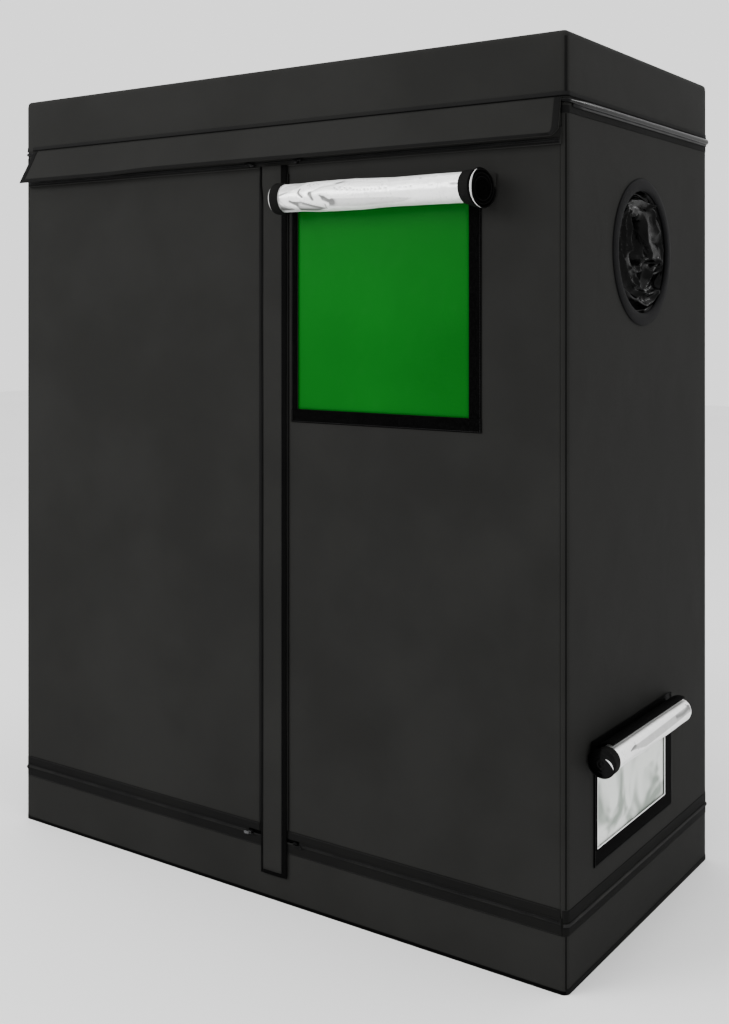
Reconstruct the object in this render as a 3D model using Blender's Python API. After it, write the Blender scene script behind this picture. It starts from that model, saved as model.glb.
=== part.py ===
# Indoor grow tent: a cloth box zipped round a steel tube frame.
# Metres, +Z up. The origin is the middle of the underside, +X is to the right as one
# faces the doors, and the doors are on the -Y side.

import math

import bmesh
import bpy
from mathutils import Vector

# The outer box of cloth
WIDTH = 1.22
DEPTH = 0.61
HEIGHT = 1.475
CLOTH = 0.0016
GAP = 0.0003
OVERRUN = 0.02

# Steel tube frame
TUBE_R = 0.008
TUBE_WALL = 0.001
POST_CLEAR = 0.0004
SADDLE = 0.0015
COLLAR = 0.030
STUB = 0.025
SOCKET_CLEAR = 0.0003
JOINT_LINE = 0.0007
JOINT_DEPTH = 0.0004
BAR_OUT = 0.20
SADDLE_WIDTH = 0.020
SADDLE_TURN = (205, 65)
BAR_NECK_R = 0.0055
BAR_NECK = 0.012
BALL_SHARE = 1.0

# Roof crown, floor tub and the seams between them
ROOF_EDGE = 0.008
FLOOR_EDGE = 0.005
CROWN_DROP = 0.111
PIPING_R = 0.0025
SEAM_BAND = 0.019
SEAM_PROUD = 0.001
SEAM_SLOPE = 0.0006
TRAY_WALL = 0.0015
TRAY_RIM = 0.026
TRAY_LIP = 0.004
TRAY_CORNER = 0.012

# Zips
BOTTOM_ZIP_Z = 0.110
TOP_ZIP_DROP = 0.168
CENTRE_ZIP_X = 0.016
SLOT_HALF = 0.0055
COIL_GAP = 0.0024
COIL_WIDTH = 0.0022
COIL_HEIGHT = 0.0013
TAPE = 0.0009
TAPE_WIDTH = 0.019
EDGE_TAPE_WIDTH = 0.007
TAPE_CORNER_CLEAR = 0.036

# Zip sliders and their pull tabs
SLIDER_LENGTH = 0.011
SLIDER_WIDTH = 0.009
SLIDER_NOSE_SHARE = 0.6
SLIDER_PLATE = 0.0012
SLIDER_CLEAR = 0.0004
SLIDER_WEB = 0.0016
SLIDER_WEB_LENGTH = 0.005
PARK_CLEAR = 0.001
BRIDGE_LENGTH = 0.0066
BRIDGE_WIDTH = 0.0016
BRIDGE_BAR = 0.0009
BRIDGE_SLOT = 0.0016
BRIDGE_SLOT_LENGTH = 0.0032
PULL_PIN_R = 0.0005
PULL_ARM = 0.0009
PULL_ARM_CLEAR = 0.0003
PULL_EYE = 0.0046
PULL_WIDTH = 0.005
PULL_LENGTH = 0.015
PULL_OFFSET = 0.0017
PULL_TIP_SHARE = 0.18
LEFT_PARK_OUT = 0.024
RIGHT_PARK_OUT = 0.0755
CENTRE_PARK_DROP = 0.017
CENTRE_LOW_RISE = 0.030

# Storm flaps
TOP_FLAP_ROOT_RISE = 0.013
TOP_FLAP_EDGE_RISE = 0.005
TOP_FLAP_PROUD = 0.020
TOP_FLAP_SHOULDER = 0.0055
TOP_FLAP_SHOULDER_DROP = 0.011
TOP_FLAP_UPPER_INSET = (0.030, 0.008)
TOP_FLAP_LOWER_INSET = (-0.002, 0.006)
SHOULDER_SHARES = (0.35, 0.75, 1.0)
FALL_SHARES = (0.5, 1.0)
FLAP_STANDOFF = 0.003
FLAP_REACH = 0.057
FLAP_HANG = 0.064
FLAP_ROOT_CLEAR = 0.001
FLAP_HEM = 0.010
FLAP_HEM_PROUD = 0.0005

# Window in the right door
WINDOW_OUT = 0.078
WINDOW_WIDTH = 0.345
WINDOW_DROP = 0.065
WINDOW_TALL = 0.369
WINDOW_BORDER_LEFT = 0.012
WINDOW_BORDER = 0.023
HOOK_TAPE = 0.0018
PANE = 0.0010
PANE_LAP = 0.008
ROLL_SHEET = 0.0024
ROLL_PITCH = 0.005
WINDOW_ROLL_OVER = (0.0195, 0.049)
WINDOW_ROLL_SAG = 0.002
WINDOW_ROLL_R = 0.027
WINDOW_ROLL_TURNS = 3
ROLL_END_BAND = 0.025
ROLL_END_STEP = 0.003

# Side vents, one low on each side wall
VENT_FROM_FRONT = 0.108
VENT_WIDTH = 0.286
VENT_RISE = 0.078
VENT_TALL = 0.157
VENT_BORDER_FRONT = 0.012
VENT_BORDER_BACK = 0.029
VENT_BORDER_LOWER = 0.026
VENT_BORDER_UPPER = 0.018
VENT_ROLL_OVER = (0.041, 0.045)
VENT_ROLL_SAG = 0.012
VENT_ROLL_R = 0.020
VENT_ROLL_TURNS = 2
VENT_BAND = 0.015
VENT_BAND_STEP = 0.0015

# Duct ports, one high on each side wall
PORT_Y = -0.010
PORT_DROP = 0.219
PORT_R = 0.110
PORT_RING_R = 0.125
PORT_RING = 0.0012
PORT_BEAD = 0.0028
PORT_LAP = 0.003
SLEEVE_SHEET = 0.0014
SLEEVE_OUT = 0.016
SLEEVE_IN = 0.024
MOUTH_Y = 0.030
MOUTH_Z = 0.045
MOUTH_RISE = 0.016
SLEEVE_FOLD = 0.0045
SLEEVE_FOLDS = 9

# Facets
SHARP = math.radians(35)
SADDLE_STEPS = 9
ARC_STEPS = 5
TUBE_SIDES = 12
PIN_SIDES = 12
ROLL_SIDES = 16
PORT_SIDES = 48
SLEEVE_STEPS = 6

# Worked out from the values above
FRONT = -DEPTH / 2
CROWN_SEAM_Z = HEIGHT - CROWN_DROP
TOP_ZIP_Z = HEIGHT - TOP_ZIP_DROP
CORNER_R = CLOTH + POST_CLEAR + TUBE_R
DOOR_HINGE_X = WIDTH / 2 - CORNER_R
POST_X = WIDTH / 2 - CORNER_R
POST_Y = DEPTH / 2 - CORNER_R
LOW_RAIL_Z = CLOTH + GAP + TUBE_R
HIGH_RAIL_Z = HEIGHT - CLOTH - GAP - SADDLE - GAP - TUBE_R
TUBE_BORE = TUBE_R - TUBE_WALL
TUB_TOP_Z = BOTTOM_ZIP_Z - SLOT_HALF
DOOR_LOWER_Z = BOTTOM_ZIP_Z + SLOT_HALF
DOOR_UPPER_Z = TOP_ZIP_Z - SLOT_HALF
HEADER_LOWER_Z = TOP_ZIP_Z + SLOT_HALF
LEFT_DOOR_EDGE_X = CENTRE_ZIP_X - SLOT_HALF
RIGHT_DOOR_EDGE_X = CENTRE_ZIP_X + SLOT_HALF
TAPE_FACE = GAP + TAPE
COIL_FACE = TAPE_FACE + COIL_HEIGHT
PLATE_UNDER = COIL_FACE + SLIDER_CLEAR
PLATE_FACE = PLATE_UNDER + SLIDER_PLATE
PULL_AXIS = PLATE_FACE + BRIDGE_SLOT / 2
COIL_EDGE = COIL_GAP / 2
LEFT_PARK_X = CENTRE_ZIP_X - LEFT_PARK_OUT
RIGHT_PARK_X = CENTRE_ZIP_X + RIGHT_PARK_OUT
CENTRE_PARK_Z = TOP_ZIP_Z - CENTRE_PARK_DROP
CENTRE_LOW_Z = BOTTOM_ZIP_Z + CENTRE_LOW_RISE
TOP_FLAP_ROOT_Z = CROWN_SEAM_Z + TOP_FLAP_ROOT_RISE
TOP_FLAP_EDGE_Z = TOP_ZIP_Z + TOP_FLAP_EDGE_RISE
TOP_FLAP_UPPER = (-WIDTH / 2 + TOP_FLAP_UPPER_INSET[0], WIDTH / 2 - TOP_FLAP_UPPER_INSET[1])
TOP_FLAP_LOWER = (-WIDTH / 2 + TOP_FLAP_LOWER_INSET[0], WIDTH / 2 - TOP_FLAP_LOWER_INSET[1])
FLAP_RIGHT_X = CENTRE_ZIP_X + FLAP_REACH
FLAP_LOWER_Z = BOTTOM_ZIP_Z - FLAP_HANG
WINDOW_LEFT_X = CENTRE_ZIP_X + WINDOW_OUT
WINDOW_X = (WINDOW_LEFT_X, WINDOW_LEFT_X + WINDOW_WIDTH)
WINDOW_UPPER_Z = TOP_ZIP_Z - WINDOW_DROP
WINDOW_Z = (WINDOW_UPPER_Z - WINDOW_TALL, WINDOW_UPPER_Z)
WINDOW_ROLL_X = (WINDOW_X[0] - WINDOW_ROLL_OVER[0], WINDOW_X[1] + WINDOW_ROLL_OVER[1])
WINDOW_ROLL_Z = WINDOW_UPPER_Z - WINDOW_ROLL_SAG
VENT_FRONT_Y = FRONT + VENT_FROM_FRONT
VENT_Y = (VENT_FRONT_Y, VENT_FRONT_Y + VENT_WIDTH)
VENT_LOWER_Z = BOTTOM_ZIP_Z + VENT_RISE
VENT_Z = (VENT_LOWER_Z, VENT_LOWER_Z + VENT_TALL)
VENT_ROLL_Y = (VENT_Y[0] - VENT_ROLL_OVER[0], VENT_Y[1] + VENT_ROLL_OVER[1])
VENT_ROLL_Z = VENT_Z[1] - VENT_ROLL_SAG
PORT_Z = CROWN_SEAM_Z - PORT_DROP
DOOR_TAPE_LOW_Z = BOTTOM_ZIP_Z + COIL_EDGE + TAPE_WIDTH
DOOR_TAPE_HIGH_Z = TOP_ZIP_Z - COIL_EDGE - TAPE_WIDTH

COLOURS = {
    "charcoal_cloth": ((0.028, 0.028, 0.027), 0.75, 0.0),
    "black_webbing": ((0.006, 0.006, 0.006), 0.6, 0.0),
    "silver_film": ((0.80, 0.80, 0.79), 0.25, 0.9),
    "green_vinyl": ((0.005, 0.18, 0.012), 0.2, 0.0),
    "pale_mesh": ((0.60, 0.62, 0.60), 0.6, 0.0),
    "white_steel": ((0.78, 0.78, 0.78), 0.35, 0.5),
    "zip_metal": ((0.60, 0.60, 0.60), 0.3, 1.0),
    "black_coil": ((0.010, 0.010, 0.010), 0.4, 0.0),
}


class Place:
    """A corner of space with three directions, in which a piece is drawn."""

    def __init__(self, origin, u, v, w):
        self.origin = Vector(origin)
        self.axes = (Vector(u), Vector(v), Vector(w))

    def at(self, a, b, c):
        u, v, w = self.axes
        return self.origin + u * a + v * b + w * c


# Along X, up Z, and out of the front face
FRONT_FACE = Place((0, FRONT, 0), (1, 0, 0), (0, 0, 1), (0, -1, 0))


def side_face(side):
    """Along Y, up Z, and out of the side wall: side is 1 on the right, -1 on the left."""
    return Place((side * WIDTH / 2, 0, 0), (0, 1, 0), (0, 0, 1), (side, 0, 0))


def clear_scene():
    for thing in list(bpy.data.objects):
        bpy.data.objects.remove(thing)


def material(name):
    found = bpy.data.materials.get(name)
    if found:
        return found
    colour, roughness, metallic = COLOURS[name]
    made = bpy.data.materials.new(name)
    made.use_nodes = True
    shader = made.node_tree.nodes["Principled BSDF"]
    shader.inputs["Base Color"].default_value = (*colour, 1.0)
    shader.inputs["Roughness"].default_value = roughness
    shader.inputs["Metallic"].default_value = metallic
    return made


def finish(name, bm, look, origin=(0, 0, 0), round_piece=False):
    """Turn a bmesh into one named object, with its origin on its joint's axis."""
    bmesh.ops.recalc_face_normals(bm, faces=bm.faces)
    bmesh.ops.translate(bm, verts=bm.verts, vec=-Vector(origin))
    mesh = bpy.data.meshes.new(name)
    bm.to_mesh(mesh)
    bm.free()
    mesh.materials.append(material(look))
    if round_piece:
        mesh.shade_smooth()
        mesh.set_sharp_from_angle(angle=SHARP)
    thing = bpy.data.objects.new(name, mesh)
    thing.location = origin
    bpy.context.scene.collection.objects.link(thing)
    return thing


def combine(thing, other, operation):
    """Join another solid to a piece, or cut it away, and remove the other solid."""
    other.hide_render = True
    other.display_type = "WIRE"
    step = thing.modifiers.new(operation.lower(), "BOOLEAN")
    step.operation = operation
    step.solver = "EXACT"
    step.object = other
    bpy.context.view_layer.update()
    graph = bpy.context.evaluated_depsgraph_get()
    result = bpy.data.meshes.new_from_object(thing.evaluated_get(graph))
    thing.modifiers.remove(step)
    thing.data = result
    bpy.data.objects.remove(other)


def join_all(thing, others):
    for other in others:
        combine(thing, other, "UNION")


def loft(bm, rings, closed=False):
    """Skin rings of points that all hold the same number of points."""
    loops = [[bm.verts.new(p) for p in ring] for ring in rings]
    pairs = list(zip(loops, loops[1:]))
    if closed:
        pairs.append((loops[-1], loops[0]))
    for low, high in pairs:
        for i in range(len(low)):
            j = (i + 1) % len(low)
            bm.faces.new((low[i], low[j], high[j], high[i]))
    if not closed:
        bm.faces.new(list(reversed(loops[0])))
        bm.faces.new(loops[-1])


def prism(place, outline, near, far):
    """A flat outline pushed from one height to another along the place's third direction."""
    bm = bmesh.new()
    loft(bm, [[place.at(a, b, c) for a, b in outline] for c in (near, far)])
    return bm


def box(place, a_pair, b_pair, c_pair):
    (a0, a1), (b0, b1) = a_pair, b_pair
    return prism(place, [(a0, b0), (a1, b0), (a1, b1), (a0, b1)], *c_pair)


def window_frame(place, outer_a, outer_b, inner_a, inner_b, c_pair):
    """A flat rectangle with a rectangular hole."""
    bm = bmesh.new()
    rings = []
    for a_pair, b_pair, c in (
        (outer_a, outer_b, c_pair[0]),
        (outer_a, outer_b, c_pair[1]),
        (inner_a, inner_b, c_pair[1]),
        (inner_a, inner_b, c_pair[0]),
    ):
        (a0, a1), (b0, b1) = a_pair, b_pair
        rings.append([place.at(a, b, c) for a, b in ((a0, b0), (a1, b0), (a1, b1), (a0, b1))])
    loft(bm, rings, closed=True)
    return bm


def circle(radius, sides, turn=0.0):
    angles = [turn + 2 * math.pi * i / sides for i in range(sides)]
    return [(radius * math.cos(t), radius * math.sin(t)) for t in angles]


def revolve(place, profile, sides, closed=True):
    """Turn a profile of (radius, height) points about the place's third direction."""
    bm = bmesh.new()
    rings = [[place.at(a, b, height) for a, b in circle(radius, sides)] for radius, height in profile]
    loft(bm, rings, closed)
    return bm


def arc(radius, start, end, steps):
    """Points on an arc, from one angle in degrees to another."""
    angles = [math.radians(start + (end - start) * i / steps) for i in range(steps + 1)]
    return [(radius * math.cos(t), radius * math.sin(t)) for t in angles]


def corner_arc(x_sign, y_sign, inset):
    """The rounded upright corner of the cloth box, anticlockwise as seen from above."""
    start = {(1, -1): 270, (1, 1): 0, (-1, 1): 90, (-1, -1): 180}[(x_sign, y_sign)]
    centre_x = x_sign * (WIDTH / 2 - CORNER_R)
    centre_y = y_sign * (DEPTH / 2 - CORNER_R)
    bend = arc(CORNER_R - inset, start, start + 90, ARC_STEPS)
    return [(centre_x + a, centre_y + b) for a, b in bend]


def plan_ring(inset, z):
    points = []
    for signs in ((1, -1), (1, 1), (-1, 1), (-1, -1)):
        points += corner_arc(*signs, inset)
    return [Vector((x, y, z)) for x, y in points]


def edge_curve(edge, inset_radius, steps=3):
    """The rounded edge between a wall and a level panel, as (inset, rise) pairs."""
    bend = arc(inset_radius, 0, 90, steps)
    return [(edge - a, b) for a, b in bend]


def make_roof_crown():
    start = HEIGHT - ROOF_EDGE
    inner = [(inset, start + rise) for inset, rise in edge_curve(ROOF_EDGE, ROOF_EDGE - CLOTH)]
    outer = [(inset, start + rise) for inset, rise in edge_curve(ROOF_EDGE, ROOF_EDGE)]
    bead = [(-a, CROWN_SEAM_Z + PIPING_R + b) for a, b in arc(PIPING_R, -90, 90, 4)]
    rings = inner[::-1] + [(CLOTH, CROWN_SEAM_Z)] + bead + outer
    bm = bmesh.new()
    loft(bm, [plan_ring(inset, z) for inset, z in rings])
    finish("roof_crown", bm, "charcoal_cloth")


def make_floor_tub():
    start = FLOOR_EDGE
    inner = [(inset, start - rise) for inset, rise in edge_curve(FLOOR_EDGE, FLOOR_EDGE - CLOTH)]
    outer = [(inset, start - rise) for inset, rise in edge_curve(FLOOR_EDGE, FLOOR_EDGE)]
    rings = inner[::-1] + [(CLOTH, TUB_TOP_Z), (0.0, TUB_TOP_Z)] + outer
    bm = bmesh.new()
    loft(bm, [plan_ring(inset, z) for inset, z in rings])
    finish("floor_tub", bm, "charcoal_cloth")


def make_side_wall(name, side):
    """A side wall wraps both corner posts, and its holes are cut for the port and the vent.

    The seam band at its foot runs out to nothing beside the doors, so they can swing past it.
    """
    bm = bmesh.new()
    seam_top = TUB_TOP_Z + GAP + SEAM_BAND
    rings = []
    for z, proud in (
        (TUB_TOP_Z + GAP, SEAM_PROUD),
        (seam_top, SEAM_PROUD),
        (seam_top + SEAM_SLOPE, 0.0),
        (CROWN_SEAM_Z - GAP, 0.0),
    ):
        corners = ((1, -1), (1, 1)) if side > 0 else ((-1, 1), (-1, -1))
        outer = [p for signs in corners for p in corner_arc(*signs, -proud)]
        outer[0] = corner_arc(*corners[0], 0.0)[0]
        outer[-1] = corner_arc(*corners[1], 0.0)[-1]
        inner = [p for signs in corners for p in corner_arc(*signs, CLOTH)]
        rings.append([Vector((x, y, z)) for x, y in outer + inner[::-1]])
    loft(bm, rings)
    wall = finish(name, bm, "charcoal_cloth")
    face = side_face(side)
    centred = Place(face.at(PORT_Y, PORT_Z, 0), *face.axes)
    hole = prism(centred, circle(PORT_R, PORT_SIDES), -OVERRUN, OVERRUN)
    combine(wall, finish("port_cutter", hole, "charcoal_cloth"), "DIFFERENCE")
    gap = box(face, VENT_Y, VENT_Z, (-OVERRUN, OVERRUN))
    combine(wall, finish("vent_cutter", gap, "charcoal_cloth"), "DIFFERENCE")


def make_back_wall():
    half = DOOR_HINGE_X - GAP
    seam_top = TUB_TOP_Z + GAP + SEAM_BAND
    back = Place((0, -FRONT, 0), (-1, 0, 0), (0, 0, 1), (0, 1, 0))
    bm = bmesh.new()
    rings = []
    for z, proud in (
        (TUB_TOP_Z + GAP, SEAM_PROUD),
        (seam_top, SEAM_PROUD),
        (seam_top + SEAM_SLOPE, 0.0),
        (CROWN_SEAM_Z - GAP, 0.0),
    ):
        section = ((-half, -CLOTH), (half, -CLOTH), (half, proud), (-half, proud))
        rings.append([back.at(a, z, c) for a, c in section])
    loft(bm, rings)
    finish("back_wall", bm, "charcoal_cloth")


def make_front_header():
    half = DOOR_HINGE_X - GAP
    strip = box(FRONT_FACE, (-half, half), (HEADER_LOWER_Z, CROWN_SEAM_Z - GAP), (-CLOTH, 0.0))
    finish("front_header", strip, "charcoal_cloth")


def make_floor_tray():
    """A loose tray with a turned-out lip lies inside the lower rails."""
    half_x = POST_X - TUBE_R - GAP
    half_y = POST_Y - TUBE_R - GAP
    base = CLOTH + GAP

    def ring(inset, z):
        bend = max(TRAY_CORNER - inset, TRAY_WALL)
        points = []
        for x_sign, y_sign, start in ((1, -1, 270), (1, 1, 0), (-1, 1, 90), (-1, -1, 180)):
            x = x_sign * (half_x - inset - bend)
            y = y_sign * (half_y - inset - bend)
            points += [Vector((x + a, y + b, z)) for a, b in arc(bend, start, start + 90, 3)]
        return points

    rings = [
        ring(TRAY_LIP + TRAY_WALL, base + TRAY_WALL),
        ring(TRAY_LIP + TRAY_WALL, base + TRAY_RIM - TRAY_WALL),
        ring(TRAY_LIP, base + TRAY_RIM),
        ring(0.0, base + TRAY_RIM),
        ring(0.0, base + TRAY_RIM - TRAY_WALL),
        ring(TRAY_LIP - TRAY_WALL, base + TRAY_RIM - TRAY_WALL - TRAY_WALL),
        ring(TRAY_LIP - TRAY_WALL, base),
    ]
    bm = bmesh.new()
    loft(bm, rings)
    finish("floor_tray", bm, "silver_film")


def rod(place, radius, near, far):
    turn = math.pi / TUBE_SIDES
    return prism(place, circle(radius, TUBE_SIDES, turn), near, far)


def make_connector(name, x_sign, y_sign, z_sign):
    """Three welded collars meet in a ball, and a thinner stub reaches into each tube."""
    centre = Vector((x_sign * POST_X, y_sign * POST_Y, HIGH_RAIL_Z if z_sign > 0 else LOW_RAIL_Z))
    arms = (
        Place(centre, (0, 1, 0), (0, 0, 1), (-x_sign, 0, 0)),
        Place(centre, (0, 0, 1), (1, 0, 0), (0, -y_sign, 0)),
        Place(centre, (1, 0, 0), (0, 1, 0), (0, 0, -z_sign)),
    )
    ball = bmesh.new()
    bmesh.ops.create_icosphere(ball, subdivisions=2, radius=TUBE_R * BALL_SHARE)
    bmesh.ops.translate(ball, verts=ball.verts, vec=centre)
    hub = finish(name, ball, "white_steel")
    for arm in arms:
        collar = finish("collar", rod(arm, TUBE_R, 0.0, COLLAR), "white_steel")
        thin = rod(arm, TUBE_BORE - SOCKET_CLEAR, COLLAR - TUBE_R, COLLAR + STUB)
        stub = finish("stub", thin, "white_steel")
        join_all(hub, (collar, stub))
    hub.data.shade_smooth()
    hub.data.set_sharp_from_angle(angle=SHARP)


def make_tube(name, place, length, joint_line=False):
    """A steel tube, with the fine line where its two swaged lengths meet."""
    profile = [(TUBE_R, 0.0)]
    if joint_line:
        low = length / 2
        high = low + JOINT_LINE
        groove = TUBE_R - JOINT_DEPTH
        profile += [(TUBE_R, low), (groove, low), (groove, high), (TUBE_R, high)]
    profile += [(TUBE_R, length), (TUBE_BORE, length), (TUBE_BORE, 0.0)]
    turn = math.pi / TUBE_SIDES
    bm = bmesh.new()
    rings = [[place.at(a, b, h) for a, b in circle(r, TUBE_SIDES, turn)] for r, h in profile]
    loft(bm, rings, closed=True)
    finish(name, bm, "white_steel", round_piece=True)


def make_frame():
    start = COLLAR + GAP
    names_x = ((-1, "left"), (1, "right"))
    names_y = ((-1, "front"), (1, "back"))
    names_z = ((-1, "lower", LOW_RAIL_Z), (1, "upper", HIGH_RAIL_Z))
    for z_sign, level, z in names_z:
        for y_sign, row in names_y:
            for x_sign, column in names_x:
                make_connector(f"{level}_{row}_{column}_connector", x_sign, y_sign, z_sign)
            length = 2 * (POST_X - start)
            place = Place((-POST_X + start, y_sign * POST_Y, z), (0, 1, 0), (0, 0, 1), (1, 0, 0))
            make_tube(f"{level}_{row}_rail", place, length, joint_line=True)
        for x_sign, column in names_x:
            length = 2 * (POST_Y - start)
            place = Place((x_sign * POST_X, -POST_Y + start, z), (0, 0, 1), (1, 0, 0), (0, 1, 0))
            make_tube(f"{level}_{column}_rail", place, length)
    for y_sign, row in names_y:
        for x_sign, column in names_x:
            foot = (x_sign * POST_X, y_sign * POST_Y, LOW_RAIL_Z + start)
            place = Place(foot, (1, 0, 0), (0, 1, 0), (0, 0, 1))
            length = HIGH_RAIL_Z - LOW_RAIL_Z - 2 * start
            make_tube(f"{row}_{column}_post", place, length, joint_line=True)


def make_hanging_bar(name, x):
    """A bar that hooks over the upper rails at both ends and slides along them."""
    reach = POST_Y - TUBE_R - BAR_NECK
    along = Place((x, 0, HIGH_RAIL_Z), (0, 0, 1), (1, 0, 0), (0, 1, 0))
    bar = finish(name, rod(along, TUBE_R, -reach, reach), "white_steel", origin=(x, 0, HIGH_RAIL_Z))
    inner = TUBE_R + GAP
    outer = inner + SADDLE
    for y_sign in (-1, 1):
        rail = Place((x, y_sign * POST_Y, HIGH_RAIL_Z), (0, y_sign, 0), (0, 0, 1), (1, 0, 0))
        hook = arc(outer, *SADDLE_TURN, SADDLE_STEPS) + arc(inner, *SADDLE_TURN[::-1], SADDLE_STEPS)
        saddle = prism(rail, hook, -SADDLE_WIDTH / 2, SADDLE_WIDTH / 2)
        near = POST_Y - inner - SADDLE / 2
        neck_place = Place((x, 0, HIGH_RAIL_Z), (0, 0, 1), (y_sign, 0, 0), (0, y_sign, 0))
        neck = rod(neck_place, BAR_NECK_R, reach - BAR_NECK, near)
        join_all(bar, (finish("saddle", saddle, "white_steel"), finish("neck", neck, "white_steel")))
    bar.data.shade_smooth()
    bar.data.set_sharp_from_angle(angle=SHARP)


def make_port(side, label):
    """The stitched ring and the gathered cloth sleeve of a duct port."""
    face = side_face(side)
    centred = Place(face.at(PORT_Y, PORT_Z, 0), *face.axes)
    low = GAP
    top = GAP + PORT_RING
    inner = PORT_R + PORT_LAP
    profile = [
        (inner, low),
        (PORT_RING_R, low),
        (PORT_RING_R, top),
        (inner + PORT_BEAD + PORT_BEAD, top),
        (inner + PORT_BEAD, top + PORT_BEAD),
        (inner, top),
    ]
    finish(f"{label}_port_ring", revolve(centred, profile, PORT_SIDES), "black_webbing", round_piece=True)
    make_sleeve(f"{label}_port_sleeve", centred)


def sleeve_point(place, share, angle, depth):
    """A point of the sleeve: share 0 is at its sewn edge and 1 at its drawn-in mouth."""
    edge = PORT_R - GAP
    edge_a, edge_b = edge * math.cos(angle), edge * math.sin(angle)
    mouth_a = MOUTH_Y * math.cos(angle)
    mouth_b = MOUTH_RISE + MOUTH_Z * math.sin(angle)
    swell = math.sin(math.pi * share)
    dip = SLEEVE_OUT * swell * (1 - share) - SLEEVE_IN * share * share
    fold = SLEEVE_FOLD * swell * math.cos(SLEEVE_FOLDS * angle + math.pi * share)
    a = edge_a + (mouth_a - edge_a) * share
    b = edge_b + (mouth_b - edge_b) * share
    return place.at(a, b, dip + fold + depth)


def make_sleeve(name, place):
    """Gathered cloth drawn in from the ring to an oval mouth, as one closed skin."""
    shares = [i / SLEEVE_STEPS for i in range(SLEEVE_STEPS + 1)]
    angles = [2 * math.pi * i / PORT_SIDES for i in range(PORT_SIDES)]
    half = SLEEVE_SHEET / 2
    front = [[sleeve_point(place, s, t, half) for t in angles] for s in shares]
    behind = [[sleeve_point(place, s, t, -half) for t in angles] for s in reversed(shares)]
    bm = bmesh.new()
    loft(bm, front + behind, closed=True)
    finish(name, bm, "black_webbing", round_piece=True)


def roll_outline(radius, turns):
    """The end view of a sheet rolled on itself from the wall side, as one closed outline."""
    count = turns * ROLL_SIDES
    outside, inside = [], []
    for i in range(count + 1):
        angle = 2 * math.pi * i / ROLL_SIDES
        r = radius - ROLL_PITCH * i / ROLL_SIDES
        outside.append((r * math.cos(angle), r * math.sin(angle)))
        inner = r - ROLL_SHEET
        inside.append((inner * math.cos(angle), inner * math.sin(angle)))
    return outside + inside[::-1]


def make_roll(name, place, span, sizes, look, origin):
    """A rolled-up cover flap, thicker where the hook tape is wound in at its ends."""
    radius, turns, band, step = sizes
    near, far = span
    thick = roll_outline(radius + step, turns)
    thin = roll_outline(radius, turns)
    stations = (
        (near, thick),
        (near + band, thick),
        (near + band + step, thin),
        (far - band - step, thin),
        (far - band, thick),
        (far, thick),
    )
    bm = bmesh.new()
    loft(bm, [[place.at(a, b, c) for a, b in outline] for c, outline in stations])
    finish(name, bm, look, origin=origin, round_piece=True)


def make_vent(side, label):
    """A mesh vent with its hook-tape border and its cover rolled up above it."""
    face = side_face(side)
    lap_y = (VENT_Y[0] - PANE_LAP, VENT_Y[1] + PANE_LAP)
    lap_z = (VENT_Z[0] - PANE_LAP, VENT_Z[1] + PANE_LAP)
    behind = -CLOTH - GAP
    mesh_sheet = box(face, lap_y, lap_z, (behind - PANE, behind))
    finish(f"{label}_vent_mesh", mesh_sheet, "pale_mesh")
    outer_y = (VENT_Y[0] - VENT_BORDER_FRONT, VENT_Y[1] + VENT_BORDER_BACK)
    outer_z = (VENT_Z[0] - VENT_BORDER_LOWER, VENT_Z[1] + VENT_BORDER_UPPER)
    border = window_frame(face, outer_y, outer_z, VENT_Y, VENT_Z, (GAP, GAP + HOOK_TAPE))
    finish(f"{label}_vent_border", border, "black_webbing")
    reach = GAP + HOOK_TAPE + GAP + VENT_ROLL_R + VENT_BAND_STEP
    centre = face.at(0, VENT_ROLL_Z, reach)
    across = Place(centre, (-side, 0, 0), (0, 0, -1), (0, 1, 0))
    sizes = (VENT_ROLL_R, VENT_ROLL_TURNS, VENT_BAND, VENT_BAND_STEP)
    make_roll(f"{label}_vent_roll", across, VENT_ROLL_Y, sizes, "silver_film", tuple(centre))


def make_fixed_zips():
    """The halves of the zips that are sewn to the tub and to the header."""
    reach = DOOR_HINGE_X - GAP
    for name, line, down in (("tub_zip", BOTTOM_ZIP_Z, -1), ("header_zip", TOP_ZIP_Z, 1)):
        edge = line + down * COIL_EDGE
        far = line + down * (COIL_EDGE + TAPE_WIDTH)
        coil = edge + down * COIL_WIDTH
        tape = box(FRONT_FACE, (-reach, reach), (edge, far), (GAP, TAPE_FACE))
        piece = finish(name, tape, "black_coil")
        bead = box(FRONT_FACE, (-reach, reach), (edge, coil), (GAP + TAPE / 2, COIL_FACE))
        combine(piece, finish("coil", bead, "black_coil"), "UNION")


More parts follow.
